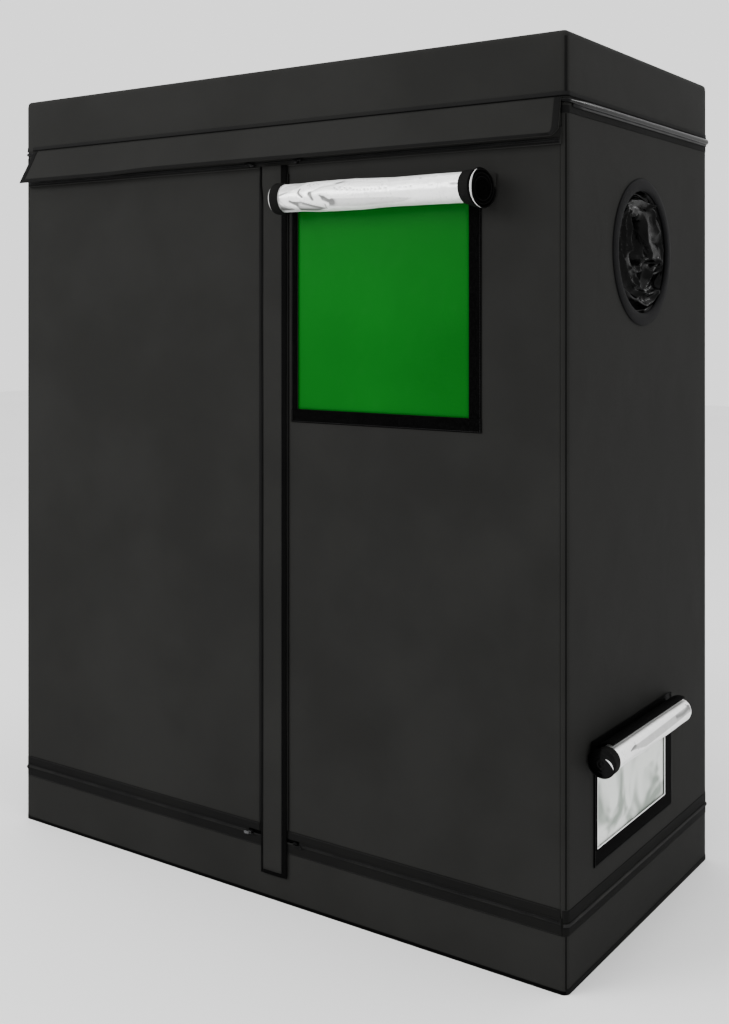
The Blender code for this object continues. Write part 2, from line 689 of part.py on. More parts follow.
def make_door_zip(name, side, origin):
    """One door's half of the zips: a bracket-shaped tape with three lines of coil."""
    park_half = SLIDER_LENGTH / 2 + PARK_CLEAR
    edge_x = CENTRE_ZIP_X + side * COIL_EDGE
    panel_x = CENTRE_ZIP_X + side * (COIL_EDGE + EDGE_TAPE_WIDTH)
    notch_x = CENTRE_ZIP_X + side * SLOT_HALF
    outer_x = side * (DOOR_HINGE_X - TAPE_CORNER_CLEAR)
    park_x = LEFT_PARK_X - park_half if side < 0 else RIGHT_PARK_X + park_half
    low, low_in, low_clear = BOTTOM_ZIP_Z + COIL_EDGE, DOOR_TAPE_LOW_Z, DOOR_LOWER_Z
    high, high_in, high_clear = TOP_ZIP_Z - COIL_EDGE, DOOR_TAPE_HIGH_Z, DOOR_UPPER_Z
    coil_low = CENTRE_LOW_Z + park_half
    coil_high = CENTRE_PARK_Z - park_half
    inner_edge = [(edge_x, coil_high), (edge_x, coil_low)]
    if side < 0:
        inner_edge = [(notch_x, high_clear), (notch_x, coil_high)] + inner_edge
        inner_edge += [(notch_x, coil_low), (notch_x, low_clear)]
    else:
        coil_low, coil_high = low_clear, high_clear
        inner_edge = [(edge_x, high_clear), (edge_x, low_clear)]
    outline = [(outer_x, high), (park_x, high), (park_x, high_clear)]
    outline += inner_edge
    outline += [(park_x, low_clear), (park_x, low), (outer_x, low), (outer_x, low_in)]
    outline += [(panel_x, low_in), (panel_x, high_in), (outer_x, high_in)]
    piece = finish(name, prism(FRONT_FACE, outline, GAP, TAPE_FACE), "black_coil", origin=origin)
    depth = (GAP + TAPE / 2, COIL_FACE)
    coil_x = edge_x + side * COIL_WIDTH
    beads = (
        box(FRONT_FACE, (outer_x, park_x), (low, low + COIL_WIDTH), depth),
        box(FRONT_FACE, (outer_x, park_x), (high, high - COIL_WIDTH), depth),
        box(FRONT_FACE, (edge_x, coil_x), (coil_low, coil_high), depth),
    )
    join_all(piece, [finish("coil", bead, "black_coil") for bead in beads])


def make_left_door():
    hinge = (-DOOR_HINGE_X, FRONT, 0)
    panel = box(
        FRONT_FACE,
        (-DOOR_HINGE_X + GAP, LEFT_DOOR_EDGE_X),
        (DOOR_LOWER_Z, DOOR_UPPER_Z),
        (-CLOTH, 0.0),
    )
    finish("left_door", panel, "charcoal_cloth", origin=hinge)
    make_door_zip("left_door_zip", -1, hinge)


def make_right_door():
    """The right door carries the window and the sewn root of the centre flap."""
    hinge = (DOOR_HINGE_X, FRONT, 0)
    panel = window_frame(
        FRONT_FACE,
        (RIGHT_DOOR_EDGE_X, DOOR_HINGE_X - GAP),
        (DOOR_LOWER_Z, DOOR_UPPER_Z),
        WINDOW_X,
        WINDOW_Z,
        (-CLOTH, 0.0),
    )
    door = finish("right_door", panel, "charcoal_cloth", origin=hinge)
    root = box(
        FRONT_FACE,
        (FLAP_RIGHT_X - CLOTH, FLAP_RIGHT_X),
        (DOOR_TAPE_LOW_Z + FLAP_ROOT_CLEAR, DOOR_TAPE_HIGH_Z - FLAP_ROOT_CLEAR),
        (-CLOTH / 2, FLAP_STANDOFF - GAP),
    )
    combine(door, finish("flap_root", root, "charcoal_cloth"), "UNION")
    make_door_zip("right_door_zip", 1, hinge)
    lap_x = (WINDOW_X[0] - PANE_LAP, WINDOW_X[1] + PANE_LAP)
    lap_z = (WINDOW_Z[0] - PANE_LAP, WINDOW_Z[1] + PANE_LAP)
    behind = -CLOTH - GAP
    pane = box(FRONT_FACE, lap_x, lap_z, (behind - PANE, behind))
    finish("window_pane", pane, "green_vinyl", origin=hinge)
    outer_x = (WINDOW_X[0] - WINDOW_BORDER_LEFT, WINDOW_X[1] + WINDOW_BORDER)
    outer_z = (WINDOW_Z[0] - WINDOW_BORDER, WINDOW_Z[1] + WINDOW_BORDER)
    border = window_frame(FRONT_FACE, outer_x, outer_z, WINDOW_X, WINDOW_Z, (GAP, GAP + HOOK_TAPE))
    finish("window_border", border, "black_webbing", origin=hinge)


def make_window_roll():
    reach = GAP + HOOK_TAPE + GAP + WINDOW_ROLL_R + ROLL_END_STEP
    centre = FRONT_FACE.at(0, WINDOW_ROLL_Z, reach)
    across = Place(centre, (0, 1, 0), (0, 0, -1), (1, 0, 0))
    sizes = (WINDOW_ROLL_R, WINDOW_ROLL_TURNS, ROLL_END_BAND, ROLL_END_STEP)
    make_roll("window_roll", across, WINDOW_ROLL_X, sizes, "silver_film", tuple(centre))


def make_centre_flap():
    """A hemmed strip, folded outwards about the edge where it meets its root."""
    near = FLAP_STANDOFF
    far = FLAP_STANDOFF + CLOTH
    span = (RIGHT_DOOR_EDGE_X, FLAP_RIGHT_X)
    height = (FLAP_LOWER_Z, DOOR_UPPER_Z)
    hinge = FRONT_FACE.at(FLAP_RIGHT_X, 0, far)
    strip = box(FRONT_FACE, span, height, (near, far))
    flap = finish("centre_storm_flap", strip, "charcoal_cloth", origin=hinge)
    hem_x = (span[0], span[0] + FLAP_HEM)
    hem_z = (height[0], height[0] + FLAP_HEM)
    proud = (near + CLOTH / 2, far + FLAP_HEM_PROUD)
    hems = (
        box(FRONT_FACE, hem_x, height, proud),
        box(FRONT_FACE, (span[0], FLAP_RIGHT_X - FLAP_HEM), hem_z, proud),
    )
    join_all(flap, [finish("hem", hem, "black_webbing") for hem in hems])


def make_top_flap():
    """The cloth eave over the upper zips, rounded at its root and flared at its edge.

    It turns about the outer face of its root, so it clears the crown when it is lifted.
    """
    drop = TOP_FLAP_ROOT_Z - TOP_FLAP_EDGE_Z
    path = [(GAP + CLOTH / 2, 0.0)]
    for share in SHOULDER_SHARES:
        out = TOP_FLAP_SHOULDER * math.sin(share * math.pi / 2)
        path.append((out, TOP_FLAP_SHOULDER_DROP * share * share))
    for share in FALL_SHARES:
        out = TOP_FLAP_SHOULDER + (TOP_FLAP_PROUD - TOP_FLAP_SHOULDER) * share
        path.append((out, TOP_FLAP_SHOULDER_DROP + (drop - TOP_FLAP_SHOULDER_DROP) * share))
    outer = [(out + CLOTH / 2, down) for out, down in path]
    inner = [(out - CLOTH / 2, down) for out, down in path]
    section = outer + inner[::-1]
    rings = []
    for end in (0, 1):
        ring = []
        for out, down in section:
            share = down / drop
            x = TOP_FLAP_UPPER[end] + (TOP_FLAP_LOWER[end] - TOP_FLAP_UPPER[end]) * share
            ring.append(FRONT_FACE.at(x, TOP_FLAP_ROOT_Z - down, out))
        rings.append(ring)
    bm = bmesh.new()
    loft(bm, rings)
    hinge = FRONT_FACE.at(0, TOP_FLAP_ROOT_Z, GAP + CLOTH)
    finish("top_storm_flap", bm, "charcoal_cloth", origin=hinge)


def slider_outline():
    """A slider plate seen from above: broad shoulders and a narrower tail."""
    half, wide = SLIDER_LENGTH / 2, SLIDER_WIDTH / 2
    tail = wide * SLIDER_NOSE_SHARE
    return [(-half, -tail), (0, -wide), (half, -tail), (half, tail), (0, wide), (-half, tail)]


def make_slider(name, place, look):
    """Two plates on a web that runs between the coils, with a bridge that holds the pull."""
    outline = slider_outline()
    origin = tuple(place.origin)
    body = finish(name, prism(place, outline, PLATE_UNDER, PLATE_FACE), look, origin=origin)
    under = -SLIDER_PLATE
    web_half = SLIDER_WEB_LENGTH / 2
    bridge_half = BRIDGE_LENGTH / 2
    bridge_top = PLATE_FACE + BRIDGE_SLOT + BRIDGE_BAR
    sunk = PLATE_FACE - SLIDER_PLATE / 2
    across = (-BRIDGE_WIDTH / 2, BRIDGE_WIDTH / 2)
    web_across = (-SLIDER_WEB / 2, SLIDER_WEB / 2)
    pieces = (
        prism(place, outline, under, 0.0),
        box(place, (-web_half, web_half), web_across, (under / 2, PLATE_UNDER + SLIDER_PLATE / 2)),
        box(place, (-bridge_half, bridge_half), across, (sunk, bridge_top)),
    )
    join_all(body, [finish("piece", piece, look) for piece in pieces])
    slot_half = BRIDGE_SLOT_LENGTH / 2
    slot_height = (PLATE_FACE, PLATE_FACE + BRIDGE_SLOT)
    slot = box(place, (-slot_half, slot_half), (-SLIDER_WIDTH, SLIDER_WIDTH), slot_height)
    combine(body, finish("slot_cutter", slot, look), "DIFFERENCE")


def make_pull(name, place, look):
    """A pin through the bridge, two arms round it and a tab that lies along the zip."""
    low, high = PULL_AXIS - PULL_PIN_R, PULL_AXIS + PULL_PIN_R
    inside = BRIDGE_WIDTH / 2 + PULL_ARM_CLEAR
    outside = inside + PULL_ARM
    origin = place.at(0, 0, PULL_AXIS)
    pin_place = Place(origin, place.axes[2], place.axes[0], place.axes[1])
    pin = prism(pin_place, circle(PULL_PIN_R, PIN_SIDES), -outside, outside)
    pull = finish(name, pin, look, origin=origin)
    tab_low = PULL_OFFSET - PULL_WIDTH / 2
    tab_high = PULL_OFFSET + PULL_WIDTH / 2
    taper = PULL_WIDTH * PULL_TIP_SHARE
    tip = [
        (PULL_EYE, -outside),
        (PULL_EYE + PULL_ARM, tab_low),
        (PULL_LENGTH - taper, tab_low),
        (PULL_LENGTH, tab_low + taper),
        (PULL_LENGTH, tab_high - taper),
        (PULL_LENGTH - taper, tab_high),
        (PULL_EYE + PULL_ARM, tab_high),
        (PULL_EYE, outside),
    ]
    pieces = (
        box(place, (0.0, PULL_EYE + PULL_ARM / 2), (-outside, -inside), (low, high)),
        box(place, (0.0, PULL_EYE + PULL_ARM / 2), (inside, outside), (low, high)),
        prism(place, tip, low, high),
    )
    join_all(pull, [finish("piece", piece, look) for piece in pieces])


def make_sliders():
    out = (0, -1, 0)
    left, right, up, down = (-1, 0, 0), (1, 0, 0), (0, 0, 1), (0, 0, -1)
    spots = (
        ("lower_left", LEFT_PARK_X, BOTTOM_ZIP_Z, left, down),
        ("lower_right", RIGHT_PARK_X, BOTTOM_ZIP_Z, right, down),
        ("upper_left", LEFT_PARK_X, TOP_ZIP_Z, left, up),
        ("upper_right", RIGHT_PARK_X, TOP_ZIP_Z, right, up),
        ("centre", CENTRE_ZIP_X, CENTRE_PARK_Z, down, right),
    )
    for label, x, z, along, towards_fixed in spots:
        place = Place(FRONT_FACE.at(x, z, 0), along, towards_fixed, out)
        make_slider(f"{label}_zip_slider", place, "zip_metal")
        make_pull(f"{label}_pull_tab", place, "zip_metal")


def main():
    clear_scene()
    make_roof_crown()
    make_floor_tub()
    make_front_header()
    make_back_wall()
    for side, label in ((-1, "left"), (1, "right")):
        make_side_wall(f"{label}_wall", side)
        make_port(side, label)
        make_vent(side, label)
    make_floor_tray()
    make_frame()
    make_hanging_bar("left_hanging_bar", -BAR_OUT)
    make_hanging_bar("right_hanging_bar", BAR_OUT)
    make_fixed_zips()
    make_left_door()
    make_right_door()
    make_window_roll()
    make_centre_flap()
    make_top_flap()
    make_sliders()


main()
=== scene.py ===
# %% [markdown]
# # Dressing an indoor grow tent
# A grow tent is a cloth box zipped round a frame of steel tube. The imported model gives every
# joint and every size. This lesson puts cloth, tape, zip teeth and film round it, piece by
# piece, and paints them. Everything is in metres, with the doors on the -Y side.

# %% Load the frame
import math

import bpy
import numpy as np
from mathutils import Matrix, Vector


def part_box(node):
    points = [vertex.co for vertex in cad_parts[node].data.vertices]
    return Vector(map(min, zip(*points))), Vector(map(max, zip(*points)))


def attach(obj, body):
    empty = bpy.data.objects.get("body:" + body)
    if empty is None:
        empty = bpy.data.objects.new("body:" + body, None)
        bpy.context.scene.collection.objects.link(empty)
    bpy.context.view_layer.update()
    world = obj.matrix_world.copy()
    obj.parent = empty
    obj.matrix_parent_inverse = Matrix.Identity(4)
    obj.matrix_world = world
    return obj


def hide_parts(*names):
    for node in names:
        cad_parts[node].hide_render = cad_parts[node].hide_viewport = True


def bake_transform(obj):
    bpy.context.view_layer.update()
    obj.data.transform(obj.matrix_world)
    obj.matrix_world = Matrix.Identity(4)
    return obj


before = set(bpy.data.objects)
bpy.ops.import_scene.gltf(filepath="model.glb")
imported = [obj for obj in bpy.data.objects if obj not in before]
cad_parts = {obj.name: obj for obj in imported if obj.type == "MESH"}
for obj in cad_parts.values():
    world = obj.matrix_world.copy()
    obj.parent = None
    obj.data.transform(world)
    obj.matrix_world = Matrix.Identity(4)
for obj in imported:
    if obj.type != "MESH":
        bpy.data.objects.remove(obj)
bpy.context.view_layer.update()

# %% [markdown]
# ## Sizes that the cloth shares with the frame
# The cloth box is 1.22 m wide, 0.61 m deep and 1.475 m tall. Its upright corners bend round
# the posts with a radius of 10 mm. The same few heights turn up in many pieces, so they are
# named once here, before anything is made.

# %% Shared sizes
HALF_X, HALF_Y, HEIGHT, CORNER = 0.61, 0.305, 1.475, 0.010
LONG_RUN, SHORT_RUN = 1.2, 0.59
FRONT = -HALF_Y
HINGE_X = HALF_X - CORNER
CROWN_SEAM, TUB_TOP = 1.364, 0.1045
LOW_ZIP, HIGH_ZIP, MIDDLE_ZIP = 0.110, 1.307, 0.016
ZIP_SLOT, SEAM_GAP = 0.0055, 0.0003
DOOR_LOW, DOOR_HIGH = LOW_ZIP + ZIP_SLOT, HIGH_ZIP - ZIP_SLOT
CLOTH, TAPE_OUT = 0.0014, 0.0003
SIDES = ((-1, "left"), (1, "right"))
CIRCLE = 2 * math.pi
print("door height:", round(DOOR_HIGH - DOOR_LOW, 4))

# %% [markdown]
# ## Three ways to start a piece
# Most of the tent is cloth, so most pieces start as a grid primitive whose lines are moved to
# where seams and folds need them. Straps and piping are grids too, closed into a tube. The two
# lids and the smallest blocks start as a cube. Small things that repeat, such as zip teeth and
# stitches, are modelled once and copied along a line. Modifiers would also work for most of
# this, but points placed by a formula can be read.

# %% Selecting and applying
def clear_selection():
    if bpy.context.object and bpy.context.object.mode != "OBJECT":
        bpy.ops.object.mode_set(mode="OBJECT")
    bpy.ops.object.select_all(action="DESELECT")


def use(piece):
    clear_selection()
    bpy.context.view_layer.objects.active = piece
    piece.select_set(True)


def named(name):
    piece = bpy.context.object
    piece.name = name
    piece.data.name = name
    return piece


def modify(piece, kind, **settings):
    use(piece)
    step = piece.modifiers.new(kind.title(), kind)
    for key, value in settings.items():
        setattr(step, key, value)
    bpy.ops.object.modifier_apply(modifier=step.name)
    return piece


# %% Reading and moving points
def points_of(piece):
    values = np.empty(len(piece.data.vertices) * 3)
    piece.data.vertices.foreach_get("co", values)
    return values.reshape(-1, 3)


def move_points(piece, points):
    piece.data.vertices.foreach_set("co", np.ascontiguousarray(points, dtype=float).ravel())
    piece.data.update()


# %% Mesh tools on a whole piece
def edit(piece, *steps):
    """Run each step in Edit Mode with everything selected."""
    use(piece)
    bpy.ops.object.mode_set(mode="EDIT")
    bpy.ops.mesh.select_all(action="SELECT")
    for step in steps:
        step()
    bpy.ops.object.mode_set(mode="OBJECT")


def close_holes():
    bpy.ops.mesh.fill_holes(sides=0)


def face_outward():
    bpy.ops.mesh.normals_make_consistent(inside=False)


# %% Choosing faces, edges and points by their place
def select(piece, kind, test):
    """Select the faces or edges that pass a test, and stay in Edit Mode."""
    use(piece)
    bpy.ops.object.mode_set(mode="EDIT")
    bpy.ops.mesh.select_mode(type=kind)
    bpy.ops.mesh.select_all(action="DESELECT")
    bpy.ops.object.mode_set(mode="OBJECT")
    for part in piece.data.polygons if kind == "FACE" else piece.data.edges:
        part.select = bool(test(part))
    bpy.ops.object.mode_set(mode="EDIT")


def cut_out(piece, test):
    select(piece, "FACE", lambda face: test(face.center))
    bpy.ops.mesh.delete(type="FACE")
    bpy.ops.object.mode_set(mode="OBJECT")


def rim_points(piece):
    """The points on the open edges of a sheet."""
    counts = {}
    for face in piece.data.polygons:
        for key in face.edge_keys:
            counts[key] = counts.get(key, 0) + 1
    return sorted({i for key, times in counts.items() if times == 1 for i in key})


# %% A grid whose lines stand where they are wanted
def lines(low, high, step, keep=()):
    """Distances from low to high about a step apart, with some that have to be there."""
    stops = sorted({low, high, *(k for k in keep if low < k < high)})
    found = []
    for near, far in zip(stops, stops[1:]):
        count = max(1, round((far - near) / step))
        found += [near + (far - near) * i / count for i in range(count)]
    return np.array(found + [high])


def set_flat(piece, s, t):
    """Keep the distances along and across the cloth as its UV map, in metres."""
    corner = np.empty(len(piece.data.loops), dtype=np.int32)
    piece.data.loops.foreach_get("vertex_index", corner)
    flat = np.column_stack((s, t))[corner]
    piece.data.uv_layers.active.data.foreach_set("uv", flat.ravel())


def grid(name, columns, rows, surface, close=False):
    """A grid with its points put on a surface: surface(s, t) gives x, y and z."""
    clear_selection()
    bpy.ops.mesh.primitive_grid_add(
        x_subdivisions=len(columns) - 1, y_subdivisions=len(rows) - 1, size=1
    )
    piece = named(name)
    s, t = (values.ravel() for values in np.meshgrid(columns, rows))
    move_points(piece, np.column_stack(np.broadcast_arrays(*surface(s, t))))
    set_flat(piece, s, t)
    if close:
        edit(piece, lambda: bpy.ops.mesh.remove_doubles(threshold=0.00002))
    piece.data.shade_smooth()
    return piece


# %% [markdown]
# ## The plan of the box
# Walls, tub, crown and piping all follow one line round the tent: straight runs joined by
# quarter circles. A table of points along that line turns a distance into a place and an
# outward direction, so one function serves every piece that wraps a corner.

# %% The line round the tent
BEND, BEND_STEPS = CORNER * math.pi / 2, 8


def plan_table():
    """Distances, places and outward directions, anticlockwise from the front left hinge."""
    rows = [(0.0, -HINGE_X, FRONT, 0.0, -1.0)]
    travelled = 0.0
    corners = (
        (1, -1, LONG_RUN, 270), (1, 1, SHORT_RUN, 0),
        (-1, 1, LONG_RUN, 90), (-1, -1, SHORT_RUN, 180),
    )
    for x_side, y_side, run, start in corners:
        travelled += run
        for i in range(BEND_STEPS + 1):
            turn = math.radians(start + 90 * i / BEND_STEPS)
            across, up = math.cos(turn), math.sin(turn)
            x = x_side * HINGE_X + CORNER * across
            y = y_side * (HALF_Y - CORNER) + CORNER * up
            rows.append((travelled + BEND * i / BEND_STEPS, x, y, across, up))
        travelled += BEND
    return np.array(rows)


PLAN = plan_table()
ROUND = PLAN[-1, 0]
RIGHT_START = LONG_RUN
BACK_START = RIGHT_START + SHORT_RUN + 2 * BEND
LEFT_START = BACK_START + LONG_RUN


def plan(s, out=0.0):
    """The place x, y at a distance round the tent, stood out from the cloth line."""
    x, y, across, up = (np.interp(s, PLAN[:, 0], PLAN[:, i]) for i in range(1, 5))
    size = np.hypot(across, up)
    return x + out * across / size, y + out * up / size


corner_lines = [s for s in PLAN[:, 0] if 0 < s < ROUND]
print("round the tent:", round(ROUND, 4), "m")

# %% [markdown]
# ## Slack in the cloth
# Tent cloth is stretched over tube, so it is nearly flat, but never quite. A few long, low
# waves with directions picked by a seeded generator give that slackness. They fade out at
# seams, where tape and thread hold the cloth still.

# %% Low waves and soft edges
def fade(values, near, far):
    share = np.clip((values - near) / (far - near), 0, 1)
    return share * share * (3 - 2 * share)


WAVE_COUNT = 7


def waves(a, b, seed, length, height):
    chance = np.random.default_rng(seed)
    total = 0.0
    for _ in range(WAVE_COUNT):
        turn, start = chance.uniform(0, CIRCLE, 2)
        pitch = length * chance.uniform(0.5, 1.5)
        run = a * math.cos(turn) + b * math.sin(turn)
        total = total + np.sin(run * CIRCLE / pitch + start)
    return height * total / WAVE_COUNT


def away(a, b, a_pair, b_pair, reach):
    """0 on a rectangle and 1 beyond a reach from it."""
    gap_a = np.maximum(np.maximum(a_pair[0] - a, a - a_pair[1]), 0)
    gap_b = np.maximum(np.maximum(b_pair[0] - b, b - b_pair[1]), 0)
    return fade(np.hypot(gap_a, gap_b), 0, reach)


def inside(a, b, a_pair, b_pair, reach):
    """0 on the edges of a panel and 1 deeper in it than a reach."""
    depth = np.minimum(
        np.minimum(a - a_pair[0], a_pair[1] - a), np.minimum(b - b_pair[0], b_pair[1] - b)
    )
    return fade(depth, 0, reach)


# %% Folds along drawn lines
def line_gap(a, b, start, end):
    """How far each point a, b is from a straight piece of line."""
    (a0, b0), (a1, b1) = start, end
    run_a, run_b = a1 - a0, b1 - b0
    share = ((a - a0) * run_a + (b - b0) * run_b) / max(run_a**2 + run_b**2, 1e-12)
    share = np.clip(share, 0, 1)
    return np.hypot(a - a0 - share * run_a, b - b0 - share * run_b)


def fold(a, b, path, width):
    """1 on a drawn line, falling away on both sides like a creased cloth."""
    gap = np.min([line_gap(a, b, *pair) for pair in zip(path, path[1:])], axis=0)
    return np.exp(-((gap / width) ** 1.25))


def within(a, b, corners, soft):
    """1 inside a drawn outline and 0 outside it, with a soft edge."""
    inner = np.zeros(np.shape(a), dtype=bool)
    gap = np.full(np.shape(a), np.inf)
    for (a0, b0), (a1, b1) in zip(corners, corners[1:] + corners[:1]):
        crosses = (b0 > b) != (b1 > b)
        height = b1 - b0 if b1 != b0 else 1e-9
        inner ^= crosses & (a < a0 + (b - b0) * (a1 - a0) / height)
        gap = np.minimum(gap, line_gap(a, b, (a0, b0), (a1, b1)))
    return fade(np.where(inner, gap, -gap), -soft, soft)


# %% [markdown]
# ## Formulas as paint
# Materials are nodes, and long chains of Math nodes are hard to read. This small class lets a
# socket be used in ordinary sums, so a weave reads as the product of two sines.

# %% Sums on sockets
class Wire:
    """A node's output that can be used in a formula."""

    def __init__(self, paint, socket):
        self.paint = paint
        self.socket = socket

    def maths(self, operation, first, second):
        return self.paint.node("ShaderNodeMath", {"operation": operation}, {0: first, 1: second})

    def __add__(self, other):
        return self.maths("ADD", self, other)

    def __sub__(self, other):
        return self.maths("SUBTRACT", self, other)

    def __rsub__(self, other):
        return self.maths("SUBTRACT", other, self)

    def __mul__(self, other):
        return self.maths("MULTIPLY", self, other)

    __radd__ = __add__
    __rmul__ = __mul__


class Paint:
    """A material, with one method that adds any node."""

    def __init__(self, name, **constants):
        self.material = bpy.data.materials.new(name)
        self.material.use_nodes = True
        self.shader = self.material.node_tree.nodes["Principled BSDF"]
        for socket, value in constants.items():
            self.set(socket.replace("_", " "), value)

    def node(self, kind, settings=None, inputs=None, out=0):
        made = self.material.node_tree.nodes.new(kind)
        for key, value in (settings or {}).items():
            setattr(made, key, value)
        for key, value in (inputs or {}).items():
            self.feed(made.inputs[key], value)
        return Wire(self, made.outputs[out])

    def feed(self, socket, value):
        if isinstance(value, Wire):
            self.material.node_tree.links.new(value.socket, socket)
        elif socket.type == "RGBA" and len(value) == 3:
            socket.default_value = (*value, 1)
        else:
            socket.default_value = value

    def set(self, socket, value):
        self.feed(self.shader.inputs[socket], value)

    def mix(self, share, first, second):
        return self.node("ShaderNodeMix", {"data_type": "RGBA"}, {0: share, 6: first, 7: second}, 2)

    def sine(self, value):
        return self.node("ShaderNodeMath", {"operation": "SINE"}, {0: value})

    def flat(self):
        """Distances along and across the cloth, in metres."""
        place = self.node("ShaderNodeTexCoord", out=2)
        return [self.node("ShaderNodeSeparateXYZ", None, {0: place}, i) for i in (0, 1)]

    def solid(self):
        return self.node("ShaderNodeTexCoord", out=3)

    def noise(self, place, scale, detail=3.0, distortion=0.0, roughness=0.5):
        inputs = {"Vector": place, "Scale": scale, "Detail": detail}
        inputs.update({"Distortion": distortion, "Roughness": roughness})
        return self.node("ShaderNodeTexNoise", None, inputs)

    def level(self, value, low, high):
        """Stretch the values between low and high over 0 to 1."""
        inputs = {0: value, 1: low, 2: high, 3: 0.0, 4: 1.0}
        return self.node("ShaderNodeMapRange", {"interpolation_type": "SMOOTHSTEP"}, inputs)

    def bump(self, height, distance, strength=1.0, below=None):
        inputs = {"Height": height, "Distance": distance, "Strength": strength}
        if below:
            inputs["Normal"] = below
        return self.node("ShaderNodeBump", None, inputs)


def shade(red, green, blue):
    """A screen colour as the light it stands for."""
    values = (v / 255 for v in (red, green, blue))
    return tuple(v / 12.92 if v <= 0.04045 else ((v + 0.055) / 1.055) ** 2.4 for v in values)


# %% [markdown]
# ## The cloths
# The outside is a coated oxford cloth: a plain weave of thick threads, charcoal and almost
# matt. Tapes and bindings are the same polyester in black with a ribbed weave. Both read the
# flat distances of their piece, so the threads run along and across each panel as woven.

# %% Oxford cloth and webbing
def weave(paint, pitch):
    along, across = paint.flat()
    turns = CIRCLE / pitch
    return paint.sine(along * turns) * paint.sine(across * turns)


def cloth_paint(name, dark, light, pitch, bump, **constants):
    paint = Paint(name, **constants)
    threads = weave(paint, pitch)
    body = paint.solid()
    patch = paint.level(paint.noise(body, 5.0, 4.0), 0.3, 0.7)
    fleck = paint.level(paint.noise(body, 900.0, 1.0), 0.55, 0.8)
    share = patch * 0.55 + threads * 0.12 + fleck * 0.35
    paint.set("Base Color", paint.mix(share, dark, light))
    paint.set("Roughness", 0.62 + patch * 0.10 - fleck * 0.12)
    crease = paint.bump(paint.noise(body, 14.0, 5.0, 0.6), 0.0022, 0.5)
    paint.set("Normal", paint.bump(threads, bump, 0.8, crease))
    return paint.material


OXFORD, WEBBING = (0.0011, 0.00006), (0.0016, 0.00012)
charcoal, ring_cloth, binding, seam_shade_grey, trim = (
    cloth_paint(name, shade(*dark), shade(*light), *threads, Specular_IOR_Level=shine)
    for name, dark, light, threads, shine in (
        ("charcoal_oxford", (28, 28, 27), (36, 36, 35), OXFORD, 0.025),
        ("ring_oxford", (12, 12, 13), (19, 19, 20), OXFORD, 0.04),
        ("black_binding", (1, 1, 1), (6, 6, 6), WEBBING, 0.02),
        # A darker cloth that paints the soft shade above the crown seam.
        ("seam_shade_cloth", (21, 21, 21), (29, 29, 28), OXFORD, 0.02),
        ("edge_tape", (14, 14, 14), (22, 22, 21), WEBBING, 0.02),
    )
)
print("made", charcoal.name, "and", binding.name)


# %% Hook tape, zip coil and glossy trim
def hook_tape_paint():
    paint = Paint("hook_tape", Specular_IOR_Level=0.02)
    body = paint.solid()
    fuzz = paint.noise(body, 1400.0, 2.0)
    loops = paint.level(paint.noise(body, 500.0, 1.0), 0.4, 0.7)
    paint.set("Base Color", paint.mix(loops, shade(0, 0, 0), shade(5, 5, 5)))
    paint.set("Roughness", 0.7 + fuzz * 0.2)
    paint.set("Normal", paint.bump(fuzz, 0.0005, 0.8))
    return paint.material


def gloss_paint(name, dark, light, rough, crumple, size, gloss=0.12):
    """A coated cloth or vinyl with a soft shine, dented where it has been handled."""
    paint = Paint(name, Specular_IOR_Level=gloss)
    body = paint.solid()
    patch = paint.level(paint.noise(body, 22.0, 4.0), 0.3, 0.7)
    paint.set("Base Color", paint.mix(patch, dark, light))
    paint.set("Roughness", rough + patch * 0.14)
    dents = paint.noise(body, size, 4.0, 1.2, 0.55)
    paint.set("Normal", paint.bump(dents, crumple, 0.9))
    return paint.material


hook_black = hook_tape_paint()
piping_black, sleeve_black, coil_black, ridge_grey, thread_black = (
    gloss_paint(name, shade(*dark), shade(*light), *rest)
    for name, dark, light, *rest in (
        ("piping_black", (1, 1, 1), (6, 6, 6), 0.10, 0.0003, 90.0, 0.07),
        ("sleeve_black", (0, 0, 0), (3, 3, 3), 0.17, 0.0010, 60.0, 0.06),
        ("coil_black", (12, 12, 12), (24, 24, 24), 0.40, 0.0001, 500.0),
        ("ridge_grey", (30, 30, 30), (40, 40, 39), 0.60, 0.0002, 400.0, 0.03),
        ("thread_black", (20, 20, 20), (34, 34, 34), 0.5, 0.0001, 900.0),
    )
)
print("made", hook_black.name, "and", coil_black.name)


# %% [markdown]
# ## Film, vinyl and mesh
# The inside and the rolled covers are silver film on cloth, which creases sharply when it is
# rolled. The window is clear green vinyl with a high shine. The vents are a fine pale mesh:
# the holes are far smaller than a pixel, so they are painted as a dark dot in each cell.

